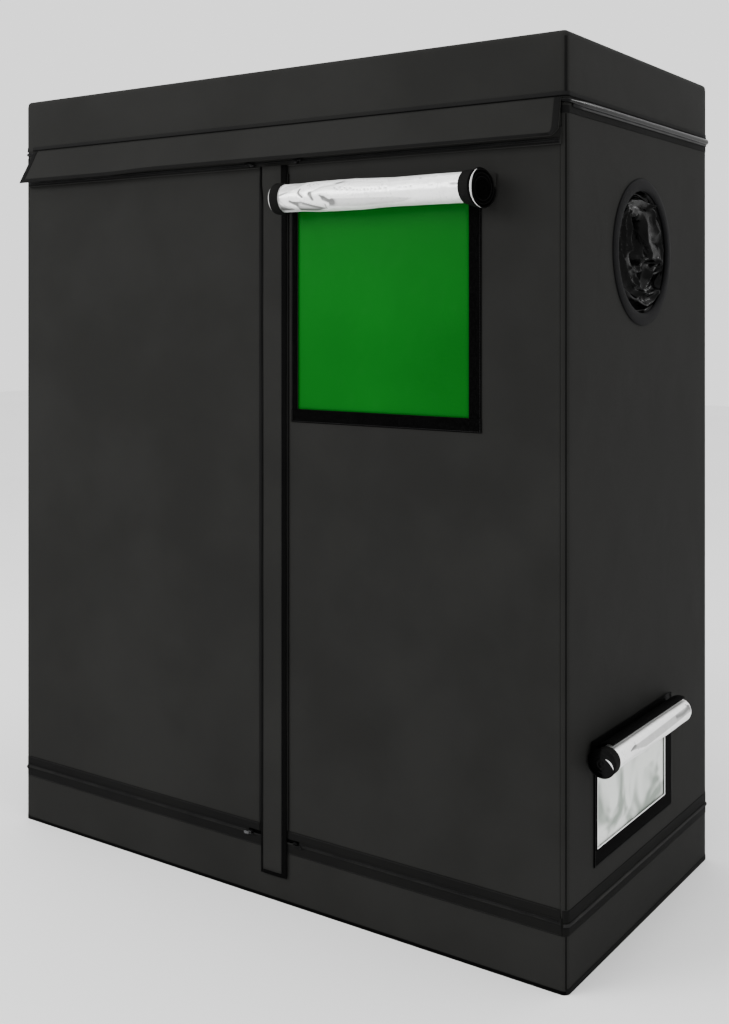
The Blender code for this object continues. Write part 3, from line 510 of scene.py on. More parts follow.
# %% Silver film
def film_paint(name, crinkle, rough):
    paint = Paint(name, Metallic=0.35, Specular_IOR_Level=0.3)
    body = paint.solid()
    broad = paint.noise(body, 26.0, 3.0, 1.6, 0.5)
    crumple = paint.noise(body, 58.0, 4.0, 2.2) - 0.5
    sharp = paint.node("ShaderNodeMath", {"operation": "ABSOLUTE"}, {0: crumple})
    fine = weave(paint, 0.0024)
    scuff = paint.level(paint.noise(body, 210.0, 3.0), 0.58, 0.72)
    tone = paint.mix(paint.level(broad, 0.3, 0.7), shade(246, 246, 245), shade(254, 254, 253))
    tone = paint.mix(scuff * 0.22, tone, shade(150, 152, 150))
    crushed = paint.level(paint.noise(body, 44.0, 2.0), 0.50, 0.62)
    specks = paint.level(paint.noise(body, 330.0, 4.0, 0.6, 0.7), 0.54, 0.66) * crushed
    tone = paint.mix(specks * 0.55, tone, shade(150, 151, 150))
    # The "crease" attribute is painted shade: it darkens the film along its creases and over facets
    # in shade.
    drawn = paint.node("ShaderNodeAttribute", {"attribute_name": "crease"}, None, 2)
    dark = paint.level(drawn, 0.2, 0.8)
    paint.set("Base Color", paint.mix(dark * 0.9, tone, shade(72, 73, 72)))
    paint.set("Roughness", rough + scuff * 0.2 + broad * 0.12)
    creased = paint.bump(sharp, crinkle, 0.9, paint.bump(broad, crinkle * 2.0, 0.8))
    paint.set("Normal", paint.bump(fine, 0.00005, 0.5, creased))
    return paint.material


silver = film_paint("silver_lining", 0.0012, 0.24)
cover_silver = film_paint("silver_cover", 0.0009, 0.26)
print("made", silver.name, "and", cover_silver.name)


# %% Green vinyl and pale mesh
def vinyl_paint():
    paint = Paint("green_vinyl_pane", Specular_IOR_Level=0.03)
    body = paint.solid()
    tint = paint.level(paint.noise(body, 3.0, 3.0), 0.3, 0.7)
    smear = paint.level(paint.noise(body, 60.0, 5.0), 0.5, 0.8)
    paint.set("Base Color", paint.mix(tint, shade(0, 75, 12), shade(0, 84, 16)))
    paint.set("Roughness", 0.28 + smear * 0.14)
    paint.set("Normal", paint.bump(paint.noise(body, 7.0, 2.0), 0.002, 0.4))
    return paint.material


def mesh_paint():
    paint = Paint("pale_vent_mesh", Specular_IOR_Level=0.3)
    threads = weave(paint, 0.0016)
    body = paint.solid()
    patch = paint.level(paint.noise(body, 11.0, 2.0, 0.8), 0.40, 0.58)
    base = paint.mix(patch, shade(138, 148, 139), shade(228, 232, 227))
    holes = paint.level(threads, 0.35, 0.95)
    paint.set("Base Color", paint.mix(holes * 0.35, base, shade(96, 100, 97)))
    paint.set("Roughness", 0.5 + holes * 0.2)
    paint.set("Normal", paint.bump(threads, 0.0002, 0.6))
    return paint.material


green = vinyl_paint()
pale_mesh = mesh_paint()
print("made", green.name, "and", pale_mesh.name)


# %% [markdown]
# ## The metals
# The tubes are steel with a white powder coat, which has a faint orange-peel texture. The
# zip sliders are cast metal with a worn shine. The pulls are nickel, but the upper ones and
# the lower right one get the black metal of the sliders, as painted shade. These are CAD nodes
# that keep their shape, so only their material is changed.

# %% Powder coat and cast metal
def powder_paint():
    paint = Paint("white_powder_coat", Specular_IOR_Level=0.5, Coat_Roughness=0.2)
    body = paint.solid()
    wear = paint.level(paint.noise(body, 40.0, 5.0), 0.62, 0.75)
    paint.set("Base Color", paint.mix(wear, shade(232, 232, 229), shade(205, 205, 202)))
    paint.set("Roughness", 0.33 + wear * 0.2)
    paint.set("Coat Weight", 0.25 - wear * 0.2)
    paint.set("Normal", paint.bump(paint.noise(body, 420.0, 1.0), 0.0002, 0.35))
    return paint.material


def cast_paint(name, dark, worn):
    paint = Paint(name, Metallic=1.0)
    body = paint.solid()
    wear = paint.level(paint.noise(body, 500.0, 3.0), 0.5, 0.75)
    paint.set("Base Color", paint.mix(wear, dark, worn))
    paint.set("Roughness", 0.42 - wear * 0.14)
    paint.set("Normal", paint.bump(paint.noise(body, 900.0, 2.0), 0.00008, 0.5))
    return paint.material


def keep_node(name, material):
    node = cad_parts[name]
    if not node.material_slots:
        node.data.materials.append(material)
    for slot in node.material_slots:
        slot.material = material


powder_coat = powder_paint()
black_cast_and_shade = cast_paint("black_cast_slider_and_pull_shade", shade(14, 14, 14), shade(44, 44, 44))
nickel = cast_paint("nickel_pull", shade(76, 76, 77), shade(140, 140, 142))
steel_nodes = [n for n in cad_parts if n.endswith(("_rail", "_post", "_connector", "_bar"))]
slider_nodes = [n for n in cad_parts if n.endswith("_slider")]
pull_nodes = [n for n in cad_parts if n.endswith("_tab")]
# The upper pulls and the lower right one are nickel too; they get black metal as painted shade.
pulls_in_painted_shade = [n for n in pull_nodes if n.startswith(("upper", "lower_right"))]
black_and_shaded_nodes = slider_nodes + pulls_in_painted_shade
bright_nodes = [n for n in pull_nodes if n not in pulls_in_painted_shade]
finishes = ((powder_coat, steel_nodes), (black_cast_and_shade, black_and_shaded_nodes), (nickel, bright_nodes))
for finish, nodes in finishes:
    for node_name in nodes:
        keep_node(node_name, finish)
print("steel nodes:", len(steel_nodes), "sliders:", len(slider_nodes), "pulls:", len(pull_nodes))


# %% [markdown]
# ## From a surface to a piece of cloth
# A panel is charcoal outside and silver inside. Solidify gives the sheet its thickness
# inwards and puts the second material on the new side, so one piece shows both faces.

# %% Thickness
def lined(piece, outer, inner, thickness=CLOTH):
    piece.data.materials.append(outer)
    piece.data.materials.append(inner)
    settings = {"material_offset": 1, "use_even_offset": True}
    return modify(piece, "SOLIDIFY", thickness=thickness, offset=-1.0, **settings)


def plain(piece, look, thickness, offset=-1.0):
    """A sheet that looks the same on both faces."""
    piece.data.materials.append(look)
    return modify(piece, "SOLIDIFY", thickness=thickness, offset=offset)


# %% Ribbons and straps
RIBBON_POINTS, SQUARENESS = 13, 0.35


def ribbon(name, along, where, width, thick, look):
    """A closed strap: where(s) gives its middle, its crossways and its outward directions."""
    turns = np.linspace(0, CIRCLE, RIBBON_POINTS)

    def squared(swing, size):
        return np.sign(swing) * np.abs(swing) ** SQUARENESS * size / 2

    def surface(s, t):
        middle, across, out = (np.asarray(v) for v in where(s))
        a, b = squared(np.cos(t), width), squared(np.sin(t), thick)
        return (middle + across * a[:, None] + out * b[:, None]).T

    piece = grid(name, along, turns, surface, close=True)
    edit(piece, close_holes, face_outward)
    x, _, z = points_of(piece).T
    set_flat(piece, x, z)
    piece.data.materials.append(look)
    piece.data.shade_smooth()
    return piece


def straight(start, end, out):
    """The line of a straight ribbon from one point to another."""
    start, end, out = (np.array(v, dtype=float) for v in (start, end, out))
    length = np.linalg.norm(end - start)
    ahead = (end - start) / length
    across = np.cross(out, ahead)

    def where(s):
        ones = np.ones((len(s), 1))
        return start + np.outer(s, ahead), across * ones, out * ones

    return length, where


def strap(name, start, end, width, thick, look, out=(0, -1, 0), step=0.05):
    length, where = straight(start, end, out)
    ends = (0.0004, length - 0.0004)
    return ribbon(name, lines(0.0, length, step, ends), where, width, thick, look)


# %% Copies of small things
def copies(name, model, middles, ahead, out, look):
    """Many copies of one small mesh, each turned to run ahead and face out."""
    base = points_of(model)
    faces = [tuple(face.vertices) for face in model.data.polygons]
    middles = np.asarray(middles, dtype=float)
    ahead = np.broadcast_to(np.asarray(ahead, dtype=float), middles.shape)
    out = np.broadcast_to(np.asarray(out, dtype=float), middles.shape)
    side = np.cross(out, ahead)
    points = middles[:, None] + base[None, :, :1] * ahead[:, None]
    points = points + base[None, :, 1:2] * side[:, None] + base[None, :, 2:] * out[:, None]
    count = len(base)
    mesh = bpy.data.meshes.new(name)
    every = [tuple(i + k * count for i in face) for k in range(len(middles)) for face in faces]
    mesh.from_pydata(points.reshape(-1, 3).tolist(), [], every)
    mesh.materials.append(look)
    mesh.shade_smooth()
    piece = bpy.data.objects.new(name, mesh)
    bpy.context.scene.collection.objects.link(piece)
    return piece


def small_block(size, bevel):
    """A rounded block at the origin, the start of a stitch or a zip tooth."""
    clear_selection()
    bpy.ops.mesh.primitive_cube_add(size=1)
    piece = named("small_block")
    move_points(piece, points_of(piece) * np.array(size))
    edit(piece, lambda: bpy.ops.mesh.bevel(offset=bevel, segments=1))
    return piece


stitch_model = small_block((0.0030, 0.0006, 0.0006), 0.00018)
tooth_model = small_block((0.0011, 0.0030, 0.0014), 0.0003)
STITCH_PITCH, TOOTH_PITCH = 0.0045, 0.0018


def stitch_line(name, starts):
    """Rows of stitches along straight lines, each given as start, end and outward direction."""
    middles, aheads, outs = [], [], []
    for start, end, out in starts:
        length, where = straight(start, end, out)
        points, across, facing = where(np.arange(STITCH_PITCH / 2, length, STITCH_PITCH))
        middles.append(points)
        aheads.append(np.cross(across, facing))
        outs.append(facing)
    stack = [np.vstack(v) for v in (middles, aheads, outs)]
    return copies(name, stitch_model, *stack, thread_black)


# %% [markdown]
# ## Roof crown
# The top of the tent is a lid of cloth: a roof panel with skirts that reach down to a piped
# seam. A cube is the natural start. Its underside is taken off, its edges are bevelled to the
# radius of the tube beneath, and bisect cuts give it enough points to sag between the rails.

# %% A lid of cloth from a cube
def bisect(piece, axis, places):
    normal = [0.0, 0.0, 0.0]
    normal[axis] = 1.0
    use(piece)
    bpy.ops.object.mode_set(mode="EDIT")
    for place in places:
        spot = [0.0, 0.0, 0.0]
        spot[axis] = place
        bpy.ops.mesh.select_all(action="SELECT")
        bpy.ops.mesh.bisect(plane_co=spot, plane_no=normal)
    bpy.ops.object.mode_set(mode="OBJECT")


def wall_uv(piece):
    """Unfold each face straight along its nearest axis, in metres."""
    places = points_of(piece)
    normals = np.array([face.normal for face in piece.data.polygons])
    layer = piece.data.uv_layers.active or piece.data.uv_layers.new()
    for face, normal in zip(piece.data.polygons, np.abs(normals)):
        pair = {0: (1, 2), 1: (0, 2), 2: (0, 1)}[int(normal.argmax())]
        for loop in face.loop_indices:
            point = places[piece.data.loops[loop].vertex_index]
            layer.data[loop].uv = (point[pair[0]], point[pair[1]])


def cloth_lid(name, low, high, open_up, edge):
    """A box of cloth with one side open and its edges bent round the tube."""
    clear_selection()
    bpy.ops.mesh.primitive_cube_add(size=1)
    piece = named(name)
    middle, tall = (low + high) / 2, high - low
    scale = np.array((2 * HALF_X, 2 * HALF_Y, tall))
    move_points(piece, points_of(piece) * scale + np.array((0, 0, middle)))
    open_side, closed_z = (1, low) if open_up else (-1, high)
    cut_out(piece, lambda c: open_side * (c.z - middle) > 0.4 * tall)

    def heights(line):
        return [piece.data.vertices[i].co.z for i in line.vertices]

    def upright(line):
        return abs(np.diff(heights(line))[0]) > 0.5 * tall

    def on_closed_side(line):
        return all(abs(z - closed_z) < 1e-5 for z in heights(line))

    for test, offset, segments in ((upright, CORNER, 6), (on_closed_side, edge, 4)):
        select(piece, "EDGE", test)
        bpy.ops.mesh.bevel(offset=offset, segments=segments)
        bpy.ops.object.mode_set(mode="OBJECT")
    bisect(piece, 0, np.linspace(-0.57, 0.57, 31))
    bisect(piece, 1, np.linspace(-0.27, 0.27, 15))
    bisect(piece, 2, np.linspace(low + 0.012, high - 0.012, 8))
    return piece


# %% Slack in the sides of a lid
def sway_sides(points, z_pair, reach, seed, lengths, height):
    """Waves on the upright faces, none at their seams and corners."""
    x, y, z = points.T
    held = inside(z, z, z_pair, z_pair, reach)
    free_x = fade(HINGE_X - np.abs(x), 0, 0.05)
    free_y = fade(HALF_Y - 0.01 - np.abs(y), 0, 0.05)
    on_front, on_side = np.abs(y) > HALF_Y - 0.001, np.abs(x) > HALF_X - 0.001
    y = y + np.where(on_front, waves(x, z, seed, lengths[0], height) * held * free_x, 0)
    x = x + np.where(on_side, waves(y, z, seed + 1, lengths[1], height) * held * free_y, 0)
    return x, y, z


def finish_lid(piece, places):
    move_points(piece, np.column_stack(places))
    wall_uv(piece)
    piece.data.shade_smooth()
    return lined(piece, charcoal, silver)


# %% The crown cloth
crown = cloth_lid("roof_crown_cloth", CROWN_SEAM, HEIGHT, False, 0.008)
level_points = points_of(crown)
x, y, z = sway_sides(level_points, (CROWN_SEAM, HEIGHT), 0.035, 11, (0.22, 0.20), 0.0016)
dip = (1 - (level_points[:, 0] / 0.6) ** 2) * (1 - (level_points[:, 1] / 0.3) ** 2)
sag = np.clip(dip, 0, 1) * (0.0008 + waves(x, y, 13, 0.3, 0.0008))
finish_lid(crown, (x, y, z - np.where(z > HEIGHT - 0.001, sag, 0)))
print("crown faces:", len(crown.data.polygons))


# %% [markdown]
# ## Piping
# Where the crown meets the walls a cord is sewn into the seam under a strip of shiny black
# cloth. It catches the light as one long highlight on the side of the tent. It is a tube that
# follows the plan line all the way round, thinner under the storm flap.

# %% The piped seam
def piping(name, s_low, s_high, z, radius, look):
    turns = np.linspace(0, CIRCLE, RIBBON_POINTS)

    def surface(s, t):
        wobble = waves(s, s * 0, 21, 0.09, 0.0003)
        size = radius(s) if callable(radius) else radius
        x, y = plan(s, size * 0.3 + (size + wobble) * np.cos(t))
        return x, y, z + wobble + size * 1.1 * np.sin(t)

    piece = grid(name, lines(s_low, s_high, 0.02, corner_lines), turns, surface, close=True)
    if abs(s_high - s_low - ROUND) > 1e-6:
        edit(piece, close_holes)
    piece.data.materials.append(look)
    return piece


def piping_size(s):
    """Thin under the storm flap, full on the sides and the back."""
    return 0.0026 + 0.0024 * fade(s, 1.212, 1.275) * fade(ROUND - s, 0.012, 0.075)


crown_piping = piping(
    "crown_piping", 0.0, ROUND, CROWN_SEAM + 0.0025, piping_size, piping_black
)
print("piping faces:", len(crown_piping.data.polygons))

# %% Tapes, seams and painted seam shade that follow the plan
BAND_OUT, BAND_THICK = 0.0004, 0.0008


def band_round(name, s_low, s_high, middle, width, look, out=BAND_OUT, thick=BAND_THICK):
    """A tape sewn round the walls: out is how far its middle stands off the cloth line."""

    def where(s):
        x, y = plan(s, out)
        x2, y2 = plan(s, out + 1.0)
        facing = np.column_stack((x2 - x, y2 - y, s * 0))
        place = np.column_stack((x, y, s * 0 + middle))
        return place, np.broadcast_to((0.0, 0.0, 1.0), place.shape), facing

    return ribbon(name, lines(s_low, s_high, 0.04, corner_lines), where, width, thick, look)


crown_seam_tapes_and_shades = [
    band_round("crown_seam_web", 1.225, ROUND - 0.025, 1.3603, 0.0052, coil_black, 0.0012, 0.0022),
    # A dark band of edge tape, painted as the shadow under the piping.
    band_round("crown_seam_shadow_band", RIGHT_START, ROUND, 1.3530, 0.0115, trim),
    # A band of darker cloth, painted as the soft shade above the seam line.
    band_round("crown_seam_shade", 0.012, ROUND - 0.004, 1.3768, 0.0064, seam_shade_grey, 0.0011),
    band_round("crown_seam_line", 0.012, ROUND - 0.004, 1.3733, 0.0018, binding, 0.0016),
]


def corner_seam(name, s, low, high, width, look):
    """A narrow bound seam up the middle of an upright corner."""
    x, y = plan(s, 0.0002)
    x2, y2 = plan(s, 1.0)
    facing = np.array((x2 - x, y2 - y, 0.0))
    facing /= np.linalg.norm(facing)
    return strap(name, (x, y, low), (x, y, high), width, 0.0007, look, facing)


CORNER_STARTS = (RIGHT_START, BACK_START - BEND, BACK_START + LONG_RUN, ROUND - BEND)
CORNER_PARTS = (
    # On the crown the corner seam strip is wider, and its dark tone also paints the shade along the
    # corner's fold.
    ("crown", CROWN_SEAM + 0.010, HEIGHT - 0.010, 0.0046, trim),
    ("wall", 0.130, 1.346, 0.0016, binding),
    ("tub", 0.008, 0.089, 0.0016, binding),
)
corner_seams = [
    corner_seam(f"corner_{number}_{part}_seam", s + BEND / 2, low, high, width, look)
    for number, s in enumerate(CORNER_STARTS, 1)
    for part, low, high, width, look in CORNER_PARTS
]
print("piping, tapes and corner seams made:", len(corner_seams))

# %% [markdown]
# ## Floor tub
# The bottom of the tent is a shallow tub of the same cloth, made as the crown is but the
# other way up. Its walls end at the lower zip in front and at a taped seam elsewhere.

# %% The tub cloth
tub = cloth_lid("floor_tub_cloth", 0.0, TUB_TOP, True, 0.005)
finish_lid(tub, sway_sides(points_of(tub), (0.0, TUB_TOP), 0.03, 31, (0.16, 0.16), 0.0020))
print("tub faces:", len(tub.data.polygons))

# %% [markdown]
# ## Walls
# Each side wall is one sheet that wraps both of its posts. It has a round hole for the duct
# port and a square one for the vent. The grid lines are put on the edges of the square hole,
# and the ring of points round the port is pulled onto a true circle.

# %% Side walls
PORT_Y, PORT_Z, PORT_R = -0.010, 1.145, 0.110
VENT_Y, VENT_Z = (-0.197, 0.089), (0.188, 0.345)


def side_distance(side, y):
    """How far round the tent a place on a side wall is."""
    if side > 0:
        return RIGHT_START + BEND + (y + HALF_Y - CORNER)
    return LEFT_START + BEND + (HALF_Y - CORNER - y)


def wall_calm(y, z):
    free = inside(y, z, (FRONT + 0.02, -FRONT - 0.02), (0.125, CROWN_SEAM), 0.06)
    port = fade(np.hypot(y - PORT_Y, z - PORT_Z), 0.126, 0.17)
    return free * port * away(y, z, (-0.24, 0.14), (0.16, 0.375), 0.05)


def side_wall(side, label):
    start = RIGHT_START if side > 0 else LEFT_START
    marks = [side_distance(side, y) for y in (*VENT_Y, PORT_Y)] + corner_lines
    columns = lines(start, start + SHORT_RUN + 2 * BEND, 0.012, marks)
    rows = lines(TUB_TOP + SEAM_GAP, CROWN_SEAM - SEAM_GAP, 0.012, (*VENT_Z, PORT_Z))

    def surface(s, t):
        x, y = plan(s)
        sway = waves(y, t, 41 + side, 0.34, 0.0022) + waves(y, t, 51 + side, 0.12, 0.0006)
        x, y = plan(s, sway * wall_calm(y, t))
        return x, y, t

    wall = grid(f"{label}_wall_cloth", columns, rows, surface)

    def in_port(c):
        return math.hypot(c.y - PORT_Y, c.z - PORT_Z) < PORT_R

    def in_vent(c):
        return VENT_Y[0] < c.y < VENT_Y[1] and VENT_Z[0] < c.z < VENT_Z[1]

    cut_out(wall, lambda c: abs(c.x) > HALF_X - 0.02 and (in_port(c) or in_vent(c)))
    points = points_of(wall)
    for i in rim_points(wall):
        y, z = points[i][1] - PORT_Y, points[i][2] - PORT_Z
        size = math.hypot(y, z)
        if size < PORT_R + 0.02:
            points[i][1:] = PORT_Y + y * PORT_R / size, PORT_Z + z * PORT_R / size
    move_points(wall, points)
    return lined(wall, charcoal, silver)


walls = {label: side_wall(side, label) for side, label in SIDES}
print("wall faces:", {label: len(wall.data.polygons) for label, wall in walls.items()})


# %% The back wall and the strip over the doors
def back_surface(s, t):
    x, y = plan(s)
    free = inside(x, t, (-HINGE_X + 0.01, HINGE_X - 0.01), (0.125, CROWN_SEAM), 0.07)
    sway = waves(x, t, 61, 0.42, 0.0032) + waves(x, t, 62, 0.15, 0.0008)
    x, y = plan(s, sway * free)
    return x, y, t


back_wall = grid(
    "back_wall_cloth", lines(BACK_START, LEFT_START, 0.02),
    lines(TUB_TOP + SEAM_GAP, CROWN_SEAM - SEAM_GAP, 0.02), back_surface,
)
lined(back_wall, charcoal, silver)
header = grid(
    "front_header_cloth", lines(-HINGE_X + SEAM_GAP, HINGE_X - SEAM_GAP, 0.02),
    lines(HIGH_ZIP + ZIP_SLOT, CROWN_SEAM - SEAM_GAP, 0.02), lambda s, t: (s, FRONT + s * 0, t),
)
lined(header, charcoal, silver)
print("back wall faces:", len(back_wall.data.polygons))

# %% Tape over the seam at the foot of the walls
wall_foot = (RIGHT_START + 0.002, ROUND - 0.002)
binding_turn = RIGHT_START + BEND * 0.5
foot_tapes = [
    band_round("wall_foot_upper_tape", *wall_foot, 0.1190, 0.0195, trim),
    band_round("wall_foot_lower_tape", *wall_foot, 0.0962, 0.0130, trim),
    band_round("tub_foot_binding", binding_turn, ROUND, 0.0046, 0.0088, trim),
    band_round("tub_front_binding", 0.0, binding_turn, 0.0030, 0.0058, binding),
]
foot_ridge = piping(
    "wall_foot_ridge", RIGHT_START + 0.004, ROUND - 0.004, 0.1060, 0.0025, ridge_grey
)
print("walls, header and foot tapes made")

# %% [markdown]
# ## Doors
# The front is two door panels that meet at the centre zip. Each panel keeps grid lines close
# to its hinge. The right door has a hole for the window.

# %% Door panels
WINDOW_X, WINDOW_Z = (0.094, 0.439), (0.873, 1.242)
HINGE_LINES = (0.004, 0.008)
DOOR_EDGES = {
    "left": (-HINGE_X + SEAM_GAP, MIDDLE_ZIP - ZIP_SLOT),
    "right": (MIDDLE_ZIP + ZIP_SLOT, HINGE_X - SEAM_GAP),
}


def door_surface(seed, x_pair, still):
    def surface(s, t):
        free = inside(s, t, x_pair, (DOOR_LOW + 0.02, DOOR_HIGH - 0.02), 0.07)
        for x_still, z_still in still:
            free = free * away(s, t, x_still, z_still, 0.06)
        sway = waves(s, t, seed, 0.36, 0.0030) + waves(s, t, seed + 1, 0.13, 0.0007)
        return s, FRONT - sway * free, t

    return surface


def door_panel(label, seed, still, holes):
    """A panel that is kept still where flaps and covers lie on it."""
    x_pair = DOOR_EDGES[label]
    keep_x = [x for x_hole, _ in holes for x in x_hole]
    keep_x += [x_pair[0] + gap for gap in HINGE_LINES] + [x_pair[1] - gap for gap in HINGE_LINES]
    keep_z = [z for _, z_hole in holes for z in z_hole]
    piece = grid(
        f"{label}_door_cloth", lines(*x_pair, 0.015, keep_x),
        lines(DOOR_LOW, DOOR_HIGH, 0.015, keep_z), door_surface(seed, x_pair, still),
    )
    for (x0, x1), (z0, z1) in holes:
        cut_out(piece, lambda c: x0 < c.x < x1 and z0 < c.z < z1)
    return lined(piece, charcoal, silver)


flap_zone = ((0.02, 0.078), (0.0, HEIGHT))
window_zone = ((0.07, 0.49), (0.84, 1.28))
doors = {
    "left": door_panel("left", 71, [], []),
    "right": door_panel("right", 75, [flap_zone, window_zone], [(WINDOW_X, WINDOW_Z)]),
}
print("door faces:", {label: len(door.data.polygons) for label, door in doors.items()})

# %% [markdown]
# ## Zips
# A coil zip is two woven tapes, each with a row of nylon loops that mesh in the middle. One
# loop is modelled as a small rounded block, and copies of it follow each tape. At the parked
# sliders the door's own row stops, because there the zip is open.

# %% Tapes and teeth
TAPE_WIDE, TAPE_THICK, EDGE_TAPE = 0.019, 0.0009, 0.0065
COIL_HALF, COIL_TAPE, COIL_MID = 0.0012, 0.0044, 0.0035
HIGH_TAPE_MID = 0.0066
LEFT_PARK, RIGHT_PARK, PARK_HALF = -0.008, 0.0915, 0.0065
TAPE_END, TAPE_PAST_HINGE, TACK_HALF = 0.5990, 0.0018, 0.0016
tape_y = FRONT - TAPE_OUT - TAPE_THICK / 2
tack_y = FRONT - TAPE_OUT - 0.0009
teeth_y = FRONT - 0.0016


def tape_between(name, start, end, width, look=trim):
    (x0, z0), (x1, z1) = start, end
    return strap(name, (x0, tape_y, z0), (x1, tape_y, z1), width, TAPE_THICK, look)


def level_strap(name, x_pair, y, z, width, thick, look):
    return strap(name, (x_pair[0], y, z), (x_pair[1], y, z), width, thick, look)


def teeth(name, runs, look=coil_black):
    """Rows of loops: each run is its start, its end and the direction of its tape."""
    middles, aheads = [], []
    for start, end, towards in runs:
        start, end, towards = (np.array((v[0], 0.0, v[1])) for v in (start, end, towards))
        length = np.linalg.norm(end - start)
        ahead = (end - start) / length
        at = np.arange(TOOTH_PITCH * 0.5, length, TOOTH_PITCH)
        shift = towards * 0.0014
        middles.append(start + np.outer(at, ahead) + shift + np.array((0.0, teeth_y, 0.0)))
        aheads.append(np.broadcast_to(ahead, middles[-1].shape))
    return copies(name, tooth_model, np.vstack(middles), np.vstack(aheads), (0, -1, 0), look)


# %% The fixed halves, on the tub and on the header
def fixed_zip(label, line, away_from_door, look, backing, coil):
    """A tape, its teeth, a strip of cloth behind the slot and a tack at each end."""
    z = line + away_from_door * (COIL_HALF + TAPE_WIDE / 2)
    half = HINGE_X + TAPE_PAST_HINGE
    tape = tape_between(f"{label}_tape", (-half, z), (half, z), TAPE_WIDE, look)
    run = ((-TAPE_END, line), (TAPE_END, line), (0, away_from_door))
    row = teeth(f"{label}_teeth", [run], coil)
    reach = (-HINGE_X - 0.004, HINGE_X + 0.004)
    baffle = level_strap(f"{label}_baffle", reach, FRONT + 0.0030, line, 0.020, 0.0012, backing)
    tacks = []
    for side, name in SIDES:
        x_pair = (side * (HINGE_X - TACK_HALF), side * (HINGE_X + TACK_HALF))
        tack = level_strap(f"{label}_{name}_end_tack", x_pair, tack_y, line, 0.0150, 0.0012, look)
        tacks.append(tack)
    return tape, row, [baffle, *tacks]


fixed_zips = {
    "tub_zip": fixed_zip("tub_zip", LOW_ZIP, -1, trim, binding, ridge_grey),
    "header_zip": fixed_zip("header_zip", HIGH_ZIP, 1, charcoal, charcoal, coil_black),
}
print("fixed zips:", ", ".join(fixed_zips))


# %% The halves that the doors carry
def door_zip(label, side):
    """Five tapes and three rows of loops round the free edges of a door."""
    park = LEFT_PARK - PARK_HALF if side < 0 else RIGHT_PARK + PARK_HALF
    far = side * TAPE_END
    low = LOW_ZIP + COIL_HALF + TAPE_WIDE / 2 + COIL_TAPE / 2
    high = HIGH_ZIP - HIGH_TAPE_MID
    edge = MIDDLE_ZIP + side * (COIL_HALF + EDGE_TAPE / 2)
    inner = MIDDLE_ZIP + side * (ZIP_SLOT + 0.0010)
    low_coil, high_coil = LOW_ZIP + COIL_MID, HIGH_ZIP - COIL_MID
    runs = (
        ("low", (far, low), (inner, low), TAPE_WIDE - COIL_TAPE),
        ("high", (far, high), (inner, high), 0.0020, charcoal),
        ("edge", (edge, DOOR_LOW + 0.020), (edge, DOOR_HIGH - 0.020), EDGE_TAPE),
        ("low_coil", (far, low_coil), (park, low_coil), COIL_TAPE),
        ("high_coil", (far, high_coil), (park, high_coil), COIL_TAPE),
    )
    tapes = [tape_between(f"{label}_door_{part}_tape", *run) for part, *run in runs]
    rise, drop = (0.0365, 0.0235) if side < 0 else (0.006, 0.006)
    rows = teeth(f"{label}_door_teeth", [
        ((far, LOW_ZIP), (park, LOW_ZIP), (0, 1)),
        ((far, HIGH_ZIP), (park, HIGH_ZIP), (0, -1)),
        ((MIDDLE_ZIP, LOW_ZIP + rise), (MIDDLE_ZIP, HIGH_ZIP - drop), (side, 0)),
    ])
    return tapes, rows


door_zips = {label: door_zip(label, side) for side, label in SIDES}
print("zip teeth faces:", sum(len(rows.data.polygons) for _, rows in door_zips.values()))

# %% [markdown]
# ## Storm flaps
# A strip of cloth hangs over the centre zip, and a wider one covers the zip at the top of the
# doors. Both are bound in black at their edges. The top one springs out over the piping at
# its root and flares at its lower edge, so it is lofted along a bent line.

# %% Centre storm flap
FLAP_X, FLAP_Z = (MIDDLE_ZIP + 0.0006, 0.0728), (0.046, DOOR_HIGH)
FLAP_Y = FRONT - (0.0030 + CLOTH)
FLAP_EDGE, FLAP_SEAM, FLAP_HEM = 0.0038, 0.0115, 0.0060


def flap_lift(s, t):
    """How far the free edge stands off, most where it passes over the slider."""
    loose = fade(FLAP_X[1] - s, 0.0, 0.03)
    slack = np.maximum(waves(s * 0, t, 81, 0.30, 0.0007), -0.0003)
    return loose * (slack + 0.0034 * fade(t, 1.245, 1.272))


def flap_strip(name, columns, rows, look, stand, thickness=CLOTH):
    piece = grid(name, columns, rows, lambda s, t: (s, FLAP_Y - stand - flap_lift(s, t), t))
    return lined(piece, look, look, thickness)


flap_rows = lines(*FLAP_Z, 0.015, (1.245, 1.252, 1.259, 1.266, 1.272))
hem_rows = lines(FLAP_Z[0] - 0.0004, FLAP_Z[0] + FLAP_HEM, 0.002)
centre_flap = flap_strip("centre_flap_cloth", lines(*FLAP_X, 0.006), flap_rows, charcoal, 0.0)
centre_flap_trim = [
    flap_strip(f"centre_flap_{part}_binding", lines(*x_pair, 0.002), rows, binding, 0.0005, 0.0019)
    for part, x_pair, rows in (
        ("edge", (FLAP_X[0] - 0.0006, FLAP_X[0] + FLAP_EDGE), flap_rows),
        ("seam", (FLAP_X[1] - FLAP_SEAM, FLAP_X[1]), flap_rows),
        ("hem", (FLAP_X[0] + FLAP_EDGE, FLAP_X[1] - FLAP_SEAM), hem_rows),
    )
]
root_x, root_y = FLAP_X[1] + 0.0006, FRONT - 0.0019
flap_root = strap(
    "centre_flap_root", (root_x, root_y, DOOR_LOW + 0.016), (root_x, root_y, DOOR_HIGH - 0.016),
    0.0040, 0.0030, trim,
)
print("centre flap made")


# %% Top storm flap
ROOT_Z = 1.372
FLAP_PATH = np.array((
    (0.0, 0.0011), (0.0013, 0.0029), (0.0062, 0.0051), (0.011, 0.0055), (0.036, 0.0122),
    (0.0652, 0.0205),
))
flap_fall = np.concatenate(([0.0], np.cumsum(np.hypot(*np.diff(FLAP_PATH, axis=0).T))))
FLAP_LONG = flap_fall[-1]


